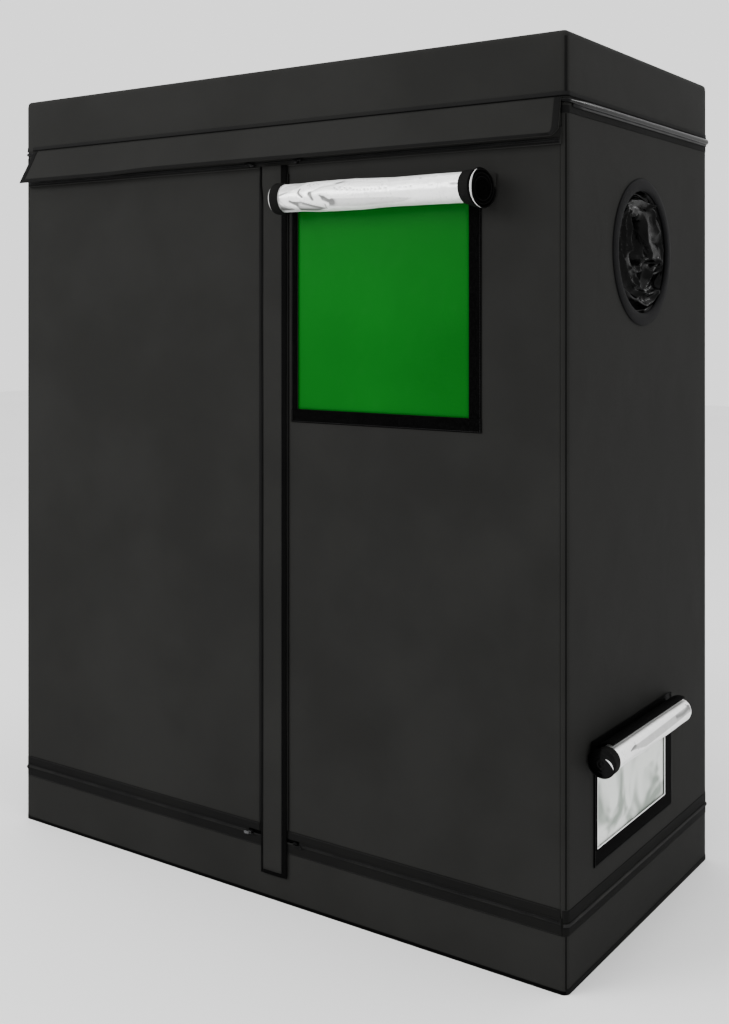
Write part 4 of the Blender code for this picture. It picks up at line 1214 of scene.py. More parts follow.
def top_flap_place(s, t, extra=0.0):
    """s runs from 0 at the left end to 1 at the right, and t down the flap from its root."""
    down, out = (np.interp(t, flap_fall, FLAP_PATH[:, i]) for i in (0, 1))
    share = t / FLAP_LONG
    round_off = 0.012 * np.clip((share - 0.80) / 0.20, 0, 1) ** 2
    x_left, x_right = -0.582 - 0.024 * share, 0.602 + 0.002 * share - round_off
    x = x_left + (x_right - x_left) * s
    sway = share * (waves(x, t, 91, 0.30, 0.0022) + waves(x, t, 92, 0.10, 0.0007))
    lift = 0.0036 * share * fade(x, -0.38, -0.22)
    return x, FRONT - out - extra - sway * fade(share, 0, 1), ROOT_Z - down + lift


top_flap = grid(
    "top_flap_cloth", lines(0.0, 1.0, 0.0125), lines(0.0, FLAP_LONG, 0.005, flap_fall[1:-1]),
    lambda s, t: top_flap_place(s, FLAP_LONG - t, 0.0008),
)
lined(top_flap, charcoal, charcoal)


def flap_edge(name, shares, falls, width, lies_along=True):
    """A binding on the flap: along it with its width down the fall, or the other way."""
    def where(s):
        share, t = shares(s), falls(s)
        here, above, below = (
            np.column_stack(top_flap_place(share, np.clip(t + shift, 0, FLAP_LONG), 0.0009))
            for shift in (0.0, -0.002, 0.002)
        )
        fall = below - above
        fall /= np.linalg.norm(fall, axis=1)[:, None]
        out = np.cross((1.0, 0.0, 0.0), fall)
        out *= -np.sign(out[:, 1:2])
        return here, fall if lies_along else np.broadcast_to((1.0, 0.0, 0.0), fall.shape), out

    return ribbon(f"top_flap_{name}_binding", lines(0.0, 1.0, 0.02), where, width, 0.0014, trim)


def down_the_flap(s):
    return s * (FLAP_LONG - 0.004) + 0.002


top_flap_trim = [
    flap_edge("hem", lambda s: 0.004 + s * 0.992, lambda s: s * 0 + FLAP_LONG - 0.0036, 0.0082),
    flap_edge("left", lambda s: s * 0 + 0.005, down_the_flap, 0.011, False),
    flap_edge("right", lambda s: s * 0 + 0.995, down_the_flap, 0.011, False),
]
print("flap falls", round(FLAP_LONG, 4), "m along its cloth")

# %% [markdown]
# ## Window
# The pane is green vinyl held behind the door. A frame of hook tape is sewn round it, for the
# rolled cover to stick to when it is let down.

# %% Pane and hook tape
HEM, HOOK_THICK = 0.008, 0.0018
WINDOW_TAPE = (0.012, 0.023, 0.023, 0.023)


def with_hem(pair):
    return pair[0] - HEM, pair[1] + HEM


def pane_surface(s, t):
    free = inside(s, t, WINDOW_X, WINDOW_Z, 0.06)
    return s, FRONT + CLOTH + 0.0006 - waves(s, t, 101, 0.20, 0.0009) * free, t


pane = grid(
    "window_pane_vinyl", lines(*with_hem(WINDOW_X), 0.015), lines(*with_hem(WINDOW_Z), 0.015),
    pane_surface,
)
plain(pane, green, 0.0008)


def hook_frame(
    prefix, a_pair, b_pair, margins, place, out, thick=HOOK_THICK, kind="hook_tape", look=hook_black
):
    """Four straps with butted corners: margins are left, right, lower and upper."""
    left, right, lower, upper = margins
    (a0, a1), (b0, b1) = a_pair, b_pair
    runs = (
        ("left", (a0 - left / 2, b0), (a0 - left / 2, b1), left),
        ("right", (a1 + right / 2, b0), (a1 + right / 2, b1), right),
        ("lower", (a0 - left, b0 - lower / 2), (a1 + right, b0 - lower / 2), lower),
        ("upper", (a0 - left, b1 + upper / 2), (a1 + right, b1 + upper / 2), upper),
    )
    return [
        strap(f"{prefix}_{label}_{kind}", place(*start), place(*end), width, thick, look, out)
        for label, start, end, width in runs
    ]


window_frame = hook_frame(
    "window", WINDOW_X, WINDOW_Z, WINDOW_TAPE, lambda a, b: (a, FRONT - 0.0012, b), (0, -1, 0)
)
print("pane and", len(window_frame), "strips of hook tape made")


# %% [markdown]
# ## Rolled covers
# A cover is a sheet of silver film with a strip of hook tape down each edge. Rolled up, it
# shows crinkled film with black ends, and its end view is a spiral. The shade in its creases
# and on its shaded facets is painted into the film. The same function makes the window's
# cover and the vents'.

# %% A roll of film
ROLL_PITCH, FILM, BAND_STEP = 0.005, 0.0010, 0.0006
FINE_TURN = 2.3 * math.pi


def roll_place(angle, radius):
    r = radius - ROLL_PITCH * angle / CIRCLE
    return r * np.cos(angle), r * np.sin(angle)


def roll_angles(turns):
    """Close together in the outer turn, which is seen, and further apart in the others."""
    inner = np.linspace(FINE_TURN, CIRCLE * turns, 24 * turns - 26)
    return np.concatenate((np.linspace(0, FINE_TURN, 112), inner[1:]))


def unrolled(path, radius):
    """A path drawn in degrees round the roll, with metres for its degrees."""
    return [(along, math.radians(turn) * radius) for along, turn in path]


def rolled(name, place, columns, radius, turns, seed, creases, painted_shades, flare, taper):
    """A sheet wound on itself: place(along, towards, down) puts it on the tent."""
    near, far = columns[0], columns[-1]
    angles = roll_angles(turns)

    def creased(s, t):
        """How deep the cloth is pressed in, only in the outer turn."""
        depths = 0 * s
        for depth, width, path in creases:
            depths = depths + depth * fold(s, t * radius, unrolled(path, radius), width)
        return depths * fade(CIRCLE + 0.5 - t, 0, 0.5)

    def surface(s, t):
        x, y = roll_place(t, radius)
        around = t * radius
        swell = waves(s, around, seed, 0.16, 0.0010) + waves(s, around, seed + 1, 0.05, 0.0003)
        held = inside(s, s, (near, far), (near, far), 0.03)
        swell = swell * held - creased(s, t) * 0.6 + flare * fade(near + 0.004 - s, 0, 0.004)
        grow = (1 + swell / radius) * (1 - taper * fade(s, far - 0.014, far) ** 2)
        return place(s, x * grow, y * grow)

    piece = grid(name, columns, angles, surface)
    s, t = (values.ravel() for values in np.meshgrid(columns, angles))
    # Painted shade: the film is darkened along its creases and inside the outlined zones.
    shade_mark = piece.data.attributes.new("crease", "FLOAT", "POINT")
    tone = creased(s, t) / 0.003
    for share, outline in painted_shades:
        patch = within(s, t * radius, unrolled(outline, radius), 0.0022)
        tone = tone + share * patch * (t < CIRCLE)
    shade_mark.data.foreach_set("value", tone.astype(np.float32))
    piece.data.materials.append(cover_silver)
    piece.data.materials.append(charcoal)
    return modify(piece, "SOLIDIFY", thickness=FILM, offset=-1.0, material_offset=1)


# %% The bands and ends of a roll
def end_band(name, place, span, radius, turns):
    """The cover's hook tape, wound with it."""
    low, high = span

    def surface(s, t):
        raised = radius + BAND_STEP * inside(s, s, span, span, 0.0012)
        return place(s, *roll_place(t, raised))

    columns = lines(low, high, 0.006, (low + 0.0006, high - 0.0006))
    angles = np.linspace(0, CIRCLE * turns, 48 * turns + 1)
    return plain(grid(name, columns, angles, surface), trim, 0.0016)


def roll_end(name, place, at, outward, radius, look, relief=0.0008):
    """The end of a roll: a low dome with the spiral of the windings pressed into it."""

    def surface(s, t):
        r = radius * t
        spiral = relief * np.sin(CIRCLE * r / 0.0062 - s)
        rise = 0.0030 * (1 - t**3) + spiral * fade(t, 0.0, 0.2)
        return place(at + outward * rise, r * np.cos(s), r * np.sin(s))

    piece = grid(name, np.linspace(0, CIRCLE, 65), np.linspace(0, 1, 25), surface, close=True)
    return plain(piece, look, 0.0008, 0.0)


def hanging_sheet(name, columns, top, bottom, place, look):
    """The stretch of cover between its seam and the roll, in rows fine enough to let out."""
    rows = lines(bottom, top, (top - bottom) / 40)
    return lined(grid(name, columns, rows, place), look, cover_silver, 0.0008)


print("a roll of three turns has", len(roll_angles(3)), "rows")


# %% The window's cover
ROLL_Z, ROLL_R, ROLL_SPAN = 1.240, 0.0265, (0.0745, 0.4905)
BAND_WIDE = (0.021, 0.0335)
roll_y = FRONT - (TAPE_OUT + HOOK_THICK + 0.0003 + ROLL_R + 0.0045)


def window_place(along, towards, down):
    """The right end is wound askew, so that its front edge is short of its back edge."""
    slant = 0.0058 * fade(along, 0.43, ROLL_SPAN[1]) * (1 - towards / ROLL_R)
    slack = fade(along, 0.455, ROLL_SPAN[1])
    bulge = 0.075 * fade(along, 0.125, 0.170) * (1 - fade(along, 0.225, 0.330))
    size = 1 + 0.14 * slack + bulge
    y, z = roll_y - 0.004 * slack + towards * size, ROLL_Z - 0.0036 * slack - down * size
    return along - slant, y, z


# Creases dent the film, and the film is painted darker along each one as painted shade.
WINDOW_CREASES = [
    (0.0042, 0.0016, ((0.1402, 209), (0.1376, 194), (0.1411, 183), (0.1470, 172))),
    (0.0030, 0.0032, ((0.1626, 184), (0.1689, 161))),
    (0.0026, 0.0018, ((0.1841, 176), (0.1920, 164))),
    (0.0036, 0.0042, ((0.1920, 164), (0.2011, 153), (0.2073, 149))),
    (0.0034, 0.0026, ((0.1188, 158), (0.1313, 141))),
    (0.0016, 0.0018, ((0.0955, 170), (0.1060, 140), (0.1188, 116))),
    (0.0026, 0.0018, ((0.1277, 151), (0.1438, 152), (0.1689, 133), (0.1867, 119))),
    (0.0020, 0.0020, ((0.1920, 138), (0.1912, 117))),
    (0.0016, 0.0040, ((0.1617, 188), (0.1867, 209), (0.2136, 217), (0.2261, 240))),
    (0.0012, 0.0018, ((0.0973, 185), (0.1152, 196), (0.1240, 200))),
    (0.0014, 0.0060, ((0.0940, 120), (0.1240, 108), (0.1800, 104))),
    (0.0024, 0.0014, ((0.4004, 234), (0.4060, 238))),
    (0.0026, 0.0020, ((0.4380, 189), (0.4560, 188))),
]
# Short creases whose painted shade shows as dark specks on the film.
WINDOW_SPECKS = (
    (0.1524, 226), (0.1560, 233), (0.1600, 221), (0.1645, 230), (0.1700, 238), (0.1760, 226),
    (0.2130, 203), (0.2188, 197), (0.2240, 206), (0.2290, 195), (0.2345, 201), (0.2400, 193),
    (0.2455, 199), (0.2530, 191), (0.2600, 190), (0.2670, 186), (0.2740, 191), (0.2810, 188),
    (0.2880, 192), (0.2960, 187), (0.3050, 190), (0.3150, 192), (0.3420, 190), (0.3540, 189),
    (0.3630, 191), (0.3780, 224), (0.4030, 190), (0.4480, 222), (0.4560, 228), (0.4600, 217),
    (0.4660, 231),
)
WINDOW_CREASES += [
    (0.0019, 0.0019, ((s, turn), (s + 0.0020, turn - 2))) for s, turn in WINDOW_SPECKS
]
# Outlines of film facets painted darker as painted shade, each with its share of darkening.
WINDOW_PAINTED_PAINTED_SHADES_TMP = (
    (0.47, (
        (0.0973, 220), (0.1223, 250), (0.1510, 246), (0.1367, 212), (0.1152, 196), (0.0973, 178),
    )),
    (0.54, ((0.0955, 155), (0.1060, 134), (0.1152, 112), (0.0960, 108))),
    (0.47, ((0.1295, 148), (0.1456, 148), (0.1867, 119), (0.1689, 104), (0.1330, 104))),
    (0.46, (
        (0.2080, 164), (0.2705, 160), (0.3300, 155), (0.3700, 143), (0.3400, 125), (0.2705, 120),
        (0.1975, 128),
    )),
    (0.40, (
        (0.2000, 226), (0.2400, 214), (0.3000, 208), (0.3600, 214), (0.3900, 232), (0.3000, 226),
        (0.2300, 236),
    )),
)

print("creases drawn on the window's cover:", len(WINDOW_CREASES))

# %% The window's roll with its bands and ends
window_columns = np.concatenate((
    lines(ROLL_SPAN[0], 0.320, 0.0017), lines(0.320, ROLL_SPAN[1] - 0.010, 0.0026)[1:],
))
window_roll = rolled(
    "window_cover_roll", window_place, window_columns, ROLL_R, 3, 111, WINDOW_CREASES,
    WINDOW_PAINTED_PAINTED_SHADES_TMP, 0.0006, 0.0,
)
band_spans = {
    "near": (ROLL_SPAN[0] + 0.0024, ROLL_SPAN[0] + BAND_WIDE[0]),
    "far": (ROLL_SPAN[1] - BAND_WIDE[1], ROLL_SPAN[1] + 0.0004),
}
roll_ends = (
    ("near", ROLL_SPAN[0] + 0.0045, -1, ROLL_R - 0.0004),
    ("far", ROLL_SPAN[1] - 0.0034, 1, ROLL_R + 0.0012),
)
window_bands = [
    end_band(f"window_cover_{label}_hook_band", window_place, span, ROLL_R + 0.0026, 3)
    for label, span in band_spans.items()
] + [
    roll_end(f"window_cover_{label}_end", window_place, at, outward, radius, hook_black)
    for label, at, outward, radius in roll_ends
]


def crescent(s, t):
    """The silver edge that shows inside the end of the roll."""
    r = ROLL_R + 0.0014 - t * 0.0030 * (1 - s**2) * (1 + 0.4 * np.sin(3.1 * s + 0.6))
    angle = math.pi + 1.25 * s - 0.15
    return window_place(ROLL_SPAN[1] + 0.0010 - 0.0006 * t, r * np.cos(angle), r * np.sin(angle))


window_rim = grid("window_cover_rim_film", np.linspace(-1, 1, 33), np.linspace(0, 1, 5), crescent)
window_bands.append(plain(window_rim, cover_silver, 0.0006, 0.0))
window_cover = hanging_sheet(
    "window_cover_sheet", lines(ROLL_SPAN[0] + 0.001, ROLL_SPAN[1] - 0.001, 0.02), 1.262, ROLL_Z,
    lambda s, t: (s, FRONT - 0.0034 + 0 * s, t), charcoal,
)
print("rolled window cover:", len(window_roll.data.polygons), "faces")

# %% [markdown]
# ## Vents
# Low on each side is a mesh vent with its own hook tape frame and rolled cover. A narrow edge
# of film shows round the mesh. Black cloth along the top of the roll and on the hanging cover
# above it is painted shade. The near end of the roll is closed with black tape, with an edge of
# film between the windings.

# %% Sizes of a vent, and the creases and painted shade of its cover
VENT_ROLL, VENT_ROLL_Z, VENT_R, VENT_SEAM = (-0.238, 0.106), 0.3415, 0.0230, 0.366
VENT_TAPE, MESH_EDGE, MESH_THICK = (0.012, 0.029, 0.026, 0.018), 0.0015, 0.0006
VENT_BAND = (-0.2384, -0.2150)
# Every crease dents the film and paints shade along it; the first lies along the top of the roll
# and mostly paints the shade there.
VENT_CREASES = (
    (0.0020, 0.0050, ((-0.216, 247), (-0.100, 247), (0.096, 247))),
    (0.0014, 0.0022, ((-0.205, 158), (-0.150, 152), (-0.100, 146), (-0.040, 143))),
    (0.0016, 0.0024, ((-0.168, 190), (-0.158, 198), (-0.148, 201))),
    (0.0010, 0.0028, ((0.030, 200), (0.060, 194), (0.092, 205))),
    (0.0018, 0.0024, ((0.084, 226), (0.090, 214), (0.094, 198))),
)
# An outline of film painted darker as painted shade.
VENT_PAINTED_SHADES = (
    (0.54, (
        (-0.168, 190), (-0.150, 203), (-0.060, 208), (0.040, 214), (0.096, 216), (0.096, 180),
        (0.0, 172), (-0.110, 164),
    )),
)


# %% Vent mesh, frames and covers
def turned(side, columns):
    """Distances for a sheet that faces out: on the left wall y falls as they rise."""
    return columns if side > 0 else -columns[::-1]


def make_vent(side, label):
    """Mesh, frames and rolled cover of the vent on one side."""

    def mesh_surface(s, t):
        sway = waves(s, t, 121, 0.10, 0.0012) * inside(s * side, t, VENT_Y, VENT_Z, 0.03)
        return side * (HALF_X - CLOTH - MESH_THICK + sway), s * side, t

    def border_place(a, b):
        return side * (HALF_X + 0.0012), a, b

    def vent_place(along, towards, down):
        return side * (HALF_X + 0.0039 + VENT_R - towards), along, VENT_ROLL_Z - down

    def roll_back(s, t):
        angle, r = np.radians(t), VENT_R + 0.0014
        return vent_place(s, r * np.cos(angle), r * np.sin(angle))

    def sheet_surface(s, t):
        return side * (HALF_X + 0.0034), s * side, t

    def film_tongue(s, t):
        """An edge of film that shows between the windings at the near end."""
        bow = 1 - s**2
        across = (t - 0.5) * 0.09 * bow
        out = 0.60 + 0.30 * s + 0.06 * bow + 0.8 * across
        up = 0.06 - 0.30 * s + 0.10 * bow + across
        return vent_place(VENT_ROLL[0] - 0.0020, -out * VENT_R, -up * VENT_R)

    mesh = grid(
        f"{label}_vent_mesh_sheet", turned(side, lines(*with_hem(VENT_Y), 0.012)),
        lines(*with_hem(VENT_Z), 0.012), mesh_surface,
    )
    plain(mesh, pale_mesh, MESH_THICK)
    borders = hook_frame(f"{label}_vent", VENT_Y, VENT_Z, VENT_TAPE, border_place, (side, 0, 0))
    (y0, y1), (z0, z1), edge = VENT_Y, VENT_Z, MESH_EDGE
    edging = hook_frame(
        f"{label}_vent", (y0 + edge, y1 - edge), (z0 + edge, z1 - edge), (edge,) * 4, border_place,
        (side, 0, 0), 0.0012, "mesh_edge", cover_silver,
    )
    cover, (near, far) = f"{label}_vent_cover", VENT_ROLL
    roll = rolled(
        f"{cover}_roll", vent_place, lines(near + 0.0030, far, 0.004), VENT_R, 2, 131,
        VENT_CREASES, VENT_PAINTED_SHADES, 0.0, 0.30,
    )
    bands = [
        end_band(f"{cover}_hook_band", vent_place, VENT_BAND, VENT_R + 0.0014, 2),
        roll_end(
            f"{cover}_near_end", vent_place, near + 0.0012, -1, VENT_R + 0.0008, piping_black,
            0.0001,
        ),
        roll_end(f"{cover}_far_end", vent_place, far - 0.0012, 1, VENT_R * 0.69, cover_silver),
    ]
    # A black strip over the top of the roll, painted as the shade there.
    backing = grid(
        f"{cover}_backing", lines(-0.2148, far - 0.010, 0.01), np.linspace(248, 372, 25), roll_back
    )
    bands.append(plain(backing, binding, 0.0011, 0.0))
    tongue = grid(f"{cover}_end_film", np.linspace(-1, 1, 25), np.linspace(0, 1, 4), film_tongue)
    bands.append(plain(tongue, cover_silver, 0.0006, 0.0))
    # The hanging part of the cover is black outside, as painted shade above the roll.
    sheet = hanging_sheet(
        f"{cover}_sheet", turned(side, lines(near + 0.014, far - 0.001, 0.02)), VENT_SEAM,
        VENT_ROLL_Z, sheet_surface, binding,
    )
    return {
        "mesh": mesh, "borders": borders, "edging": edging, "roll": roll, "bands": bands,
        "cover": sheet,
    }


vents = {label: make_vent(side, label) for side, label in SIDES}
print("vents:", {label: len(v["roll"].data.polygons) for label, v in vents.items()})

# %% [markdown]
# ## Duct ports
# A duct port is a sleeve of thin coated cloth sewn into a soft ring, drawn shut with a cord.
# Closed, it is a crumple of folds round a dark mouth. A formula that repeats round the ring
# looks like a flower, so each fold is drawn as a line across the sleeve: the cloth stands up
# in a sharp ridge along it. Two slack sheets of cloth are drawn as outlines.

# %% The soft ring
SLEEVE_R, PUCKERS = 0.105, 46
RING_PROFILE = np.array((
    (0.1120, 0.0002), (0.1250, 0.0002), (0.1256, 0.0010), (0.1244, 0.0024), (0.1200, 0.0037),
    (0.1145, 0.0043), (0.1090, 0.0040), (0.1052, 0.0026), (0.1040, 0.0004), (0.1044, -0.0022),
    (0.1056, -0.0010), (0.1120, 0.0002),
))


def ring_surface(side):
    stops = np.arange(len(RING_PROFILE))

    def surface(s, t):
        r, out = (np.interp(t, stops, RING_PROFILE[:, i]) for i in (0, 1))
        r = r + 0.0005 * np.sin(s * PUCKERS) * (out > 0.003)
        return side * (HALF_X + out), PORT_Y + side * r * np.cos(s), PORT_Z + r * np.sin(s)

    return surface


# %% The folds of the gathered sleeve, counted in sleeve radii from its middle
(MOUTH_V, MOUTH_W), (MOUTH_WIDE, MOUTH_TALL) = (0.03, 0.20), (0.20, 0.28)
SHEETS = (
    (
        (0.17, 0.51), (0.24, 0.35), (0.32, 0.18), (0.51, 0.0), (0.46, -0.11), (0.76, -0.14),
        (0.92, -0.20), (0.94, 0.09), (0.87, 0.32), (0.74, 0.49), (0.52, 0.65), (0.36, 0.78),
        (0.27, 0.74), (0.12, 0.53),
    ),
    (
        (-0.51, 0.65), (-0.27, 0.60), (-0.02, 0.51), (0.12, 0.53), (0.27, 0.74), (0.44, 0.76),
        (0.32, 0.83), (0.0, 0.87), (-0.44, 0.84), (-0.56, 0.75),
    ),
)
SLEEVE_FOLDS = (
    (0.0150, 0.050, (
        (-0.60, 0.66), (-0.80, 0.49), (-0.86, 0.26), (-0.82, 0.0), (-0.63, -0.23), (-0.46, -0.44),
        (-0.27, -0.60), (-0.10, -0.675),
    )),
    (0.0120, 0.045, ((-0.56, 0.63), (-0.585, 0.42), (-0.54, 0.18), (-0.56, 0.0), (-0.585, -0.10))),
    (0.0105, 0.045, ((-0.39, 0.61), (-0.29, 0.456), (-0.26, 0.245), (-0.29, 0.035))),
    (0.0050, 0.060, ((-0.51, 0.82), (-0.02, 0.85), (0.32, 0.80), (0.46, 0.73))),
    (-0.0045, 0.040, ((-0.46, 0.75), (-0.1, 0.755), (0.27, 0.73))),
    (0.0060, 0.050, (
        (0.37, 0.77), (0.54, 0.63), (0.75, 0.48), (0.88, 0.31), (0.93, 0.09), (0.93, -0.18),
        (0.90, -0.37),
    )),
    (0.0090, 0.050, ((0.07, -0.23), (0.27, -0.12), (0.41, -0.09))),
    (0.0140, 0.045, (
        (0.76, -0.14), (0.46, -0.30), (0.366, -0.456), (0.12, -0.61), (-0.10, -0.675),
    )),
    (0.0080, 0.050, ((0.51, -0.37), (0.80, -0.316), (0.90, -0.26))),
    (0.0105, 0.045, ((0.366, -0.684), (0.62, -0.64), (0.76, -0.60))),
    (0.0130, 0.060, (
        (-0.66, -0.60), (-0.37, -0.73), (-0.02, -0.81), (0.27, -0.87), (0.53, -0.80), (0.72, -0.66),
    )),
    (0.0070, 0.040, ((-0.22, -0.26), (-0.02, -0.32), (0.10, -0.30))),
    (0.0070, 0.035, ((0.0, -0.42), (0.07, -0.53), (-0.02, -0.65))),
    (0.0070, 0.035, ((-0.51, -0.25), (-0.22, -0.40), (-0.32, -0.54))),
    (-0.0060, 0.050, ((0.60, 0.22), (0.82, 0.16))),
    (0.0050, 0.030, ((0.46, 0.72), (0.56, 0.50), (0.72, 0.36))),
)


# %% The gathered sleeve
def sleeve_height(v, w):
    """How far the sleeve stands in front of the wall, at places counted in sleeve radii."""
    hollow = fade(1.045 - np.hypot(v, w), 0.0, 0.10)
    height = -0.0150 * hollow
    for outline in SHEETS:
        height = height + 0.0105 * within(v, w, outline, 0.035)
    for rise, width, path in SLEEVE_FOLDS:
        height = height + rise * hollow * fold(v, w, path, width)
    height = height + waves(v, w, 142, 0.30, 0.0014) * hollow
    to_mouth = np.hypot((v - MOUTH_V) / MOUTH_WIDE, (w - MOUTH_W) / MOUTH_TALL)
    return height - 0.016 * fade(1.7 - to_mouth, 0.0, 0.7)


def sleeve_surface(side):
    rim = 0.112 / SLEEVE_R

    def surface(s, t):
        v = (1 - t) * rim * np.cos(s) + t * (MOUTH_V + MOUTH_WIDE * np.cos(s))
        w = (1 - t) * rim * np.sin(s) + t * (MOUTH_W + MOUTH_TALL * np.sin(s))
        out = HALF_X + 0.0004 + sleeve_height(v, w)
        return side * out, PORT_Y + v * SLEEVE_R, PORT_Z + w * SLEEVE_R

    return surface


def make_port(side, label):
    stops = np.arange(float(len(RING_PROFILE)))
    ring = grid(
        f"{label}_port_soft_ring", np.linspace(0, CIRCLE, 193), stops if side > 0 else stops[::-1],
        ring_surface(side), close=True,
    )
    ring.data.materials.append(ring_cloth)
    sleeve = grid(
        f"{label}_port_sleeve_cloth", np.linspace(0, CIRCLE, 257), np.linspace(0, 1, 73),
        sleeve_surface(side), close=True,
    )
    for piece in (ring, sleeve):
        edit(piece, face_outward)
    plain(sleeve, sleeve_black, 0.0008)
    return {"ring": ring, "sleeve": sleeve}


ports = {label: make_port(side, label) for side, label in SIDES}
print("port sleeves:", {label: len(p["sleeve"].data.polygons) for label, p in ports.items()})

# %% [markdown]
# ## Floor tray
# A loose silver tray lies in the bottom to catch spills. It is a shallow box with a turned
# lip, seen when the doors are open.

# %% The tray
tray_low, tray_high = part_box("floor_tray")
TRAY_X, TRAY_Y = tray_high[0], tray_high[1]
TRAY_WALL = (
    (0.0055, 0.0013), (0.0053, 0.0240), (0.0040, 0.0262), (0.0004, 0.0268), (0.0002, 0.0255),
)


def tray_start():
    """The floor of the tray, slightly uneven, as far as its rim."""
    clear_selection()
    bpy.ops.mesh.primitive_grid_add(x_subdivisions=40, y_subdivisions=20, size=1)
    piece = named("floor_tray_film")
    inset, height = TRAY_WALL[0]
    points = points_of(piece) * np.array((2 * (TRAY_X - inset), 2 * (TRAY_Y - inset), 1))
    x, y, _ = points.T
    free = inside(x, y, (-TRAY_X, TRAY_X), (-TRAY_Y, TRAY_Y), 0.05)
    points[:, 2] = tray_low[2] + height + np.abs(waves(x, y, 151, 0.2, 0.0012)) * free
    move_points(piece, points)
    return piece


def raise_rim(piece, inset, height):
    """Extrude the open edge and put it at a new inset and height."""
    use(piece)
    bpy.ops.object.mode_set(mode="EDIT")
    bpy.ops.mesh.select_mode(type="EDGE")
    bpy.ops.mesh.select_all(action="DESELECT")
    bpy.ops.mesh.select_non_manifold(extend=False)
    bpy.ops.mesh.extrude_region_move(TRANSFORM_OT_translate={"value": (0, 0, 0.002)})
    bpy.ops.object.mode_set(mode="OBJECT")
    points = points_of(piece)
    fresh = [v.index for v in piece.data.vertices if v.select]
    half = np.abs(points[fresh][:, :2]).max(axis=0)
    points[fresh, :2] *= np.array((TRAY_X - inset, TRAY_Y - inset)) / half
    points[fresh, 2] = tray_low[2] + height
    move_points(piece, points)


tray = tray_start()
for inset, height in TRAY_WALL[1:]:
    raise_rim(tray, inset, height)
wall_uv(tray)
plain(tray, silver, 0.0010)
tray.data.shade_smooth()
print("tray faces:", len(tray.data.polygons))

# %% [markdown]
# ## Stitching
# Rows of black stitches hold the wide tapes, the hook tape frames, the bindings of the centre
# flap and the rings of the ports. One stitch is a tiny rounded block, copied along each row.

# %% Stitches on the shell, the doors and the centre flap
TAPE_ROW, EDGE_ROW, RING_ROW = 0.0185, 0.0066, 0.122
stitch_y = FRONT - TAPE_OUT - TAPE_THICK - 0.0001
front_out = (0, -1, 0)
shell_run = (-HINGE_X + 0.004, HINGE_X - 0.004)
left_run, right_run = (-TAPE_END + 0.002, MIDDLE_ZIP - 0.009), (0.082, TAPE_END - 0.002)


def level_stitches(z, run):
    return (run[0], stitch_y, z), (run[1], stitch_y, z), front_out


def upright_stitches(x, y, low, high):
    return (x, y, low), (x, y, high), front_out


shell_stitches = stitch_line("shell_tape_stitches", [
    level_stitches(LOW_ZIP - TAPE_ROW, shell_run), level_stitches(HIGH_ZIP + TAPE_ROW, shell_run),
])
door_stitches = {
    "left": stitch_line("left_door_stitches", [
        level_stitches(LOW_ZIP + TAPE_ROW, left_run),
        level_stitches(HIGH_ZIP - HIGH_TAPE_MID, left_run),
        upright_stitches(MIDDLE_ZIP - EDGE_ROW, stitch_y, DOOR_LOW + 0.021, DOOR_HIGH - 0.021),
    ]),
    "right": stitch_line("right_door_stitches", [
        level_stitches(LOW_ZIP + TAPE_ROW, right_run),
        level_stitches(HIGH_ZIP - HIGH_TAPE_MID, right_run),
    ]),
}
flap_stitches = stitch_line("centre_flap_stitches", [
    upright_stitches(x, FLAP_Y - 0.0008, FLAP_Z[0] + 0.008, 1.243)
    for x in (FLAP_X[0] + FLAP_EDGE - 0.0015, FLAP_X[1] - FLAP_SEAM + 0.0015)
])


# %% Stitches round the window, the vents and the ports
def frame_stitches(name, a_pair, b_pair, margins, place, out):
    """A row of stitches round a hook tape frame."""
    left, right, lower, upper = (m - 0.002 for m in margins)
    a0, a1 = a_pair[0] - left, a_pair[1] + right
    b0, b1 = b_pair[0] - lower, b_pair[1] + upper
    corners = [place(a, b) for a, b in ((a0, b0), (a1, b0), (a1, b1), (a0, b1))]
    return stitch_line(name, [(corners[i], corners[(i + 1) % 4], out) for i in range(4)])


def port_stitches(side, label):
    turns = np.linspace(0, CIRCLE, 165)[:-1]
    x, y, z = turns * 0, np.cos(turns), np.sin(turns)
    middles = (x + side * (HALF_X + 0.0019), PORT_Y + RING_ROW * y, PORT_Z + RING_ROW * z)
    return copies(
        f"{label}_port_stitches", stitch_model, np.column_stack(middles),
        np.column_stack((x, -z, y)), (side, 0, 0), thread_black,
    )


window_stitches = frame_stitches(
    "window_frame_stitches", WINDOW_X, WINDOW_Z, WINDOW_TAPE,
    lambda a, b: (a, FRONT - 0.0022, b), front_out,
)
for side, label in SIDES:
    vents[label]["stitches"] = frame_stitches(
        f"{label}_vent_stitches", VENT_Y, VENT_Z, VENT_TAPE,
        lambda a, b: (side * (HALF_X + 0.0022), a, b), (side, 0, 0),
    )
    ports[label]["stitches"] = port_stitches(side, label)
for model in (stitch_model, tooth_model):
    bpy.data.objects.remove(model)
print("stitches made")

# %% [markdown]
# ## What rides on what
# Every piece follows a body of the imported model. Where a piece stands for a CAD node, the
# node is hidden.

# %% Riding and replacing
def put(piece, body, slot, *nodes):
    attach(piece, body)
    if nodes:
        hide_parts(*nodes)


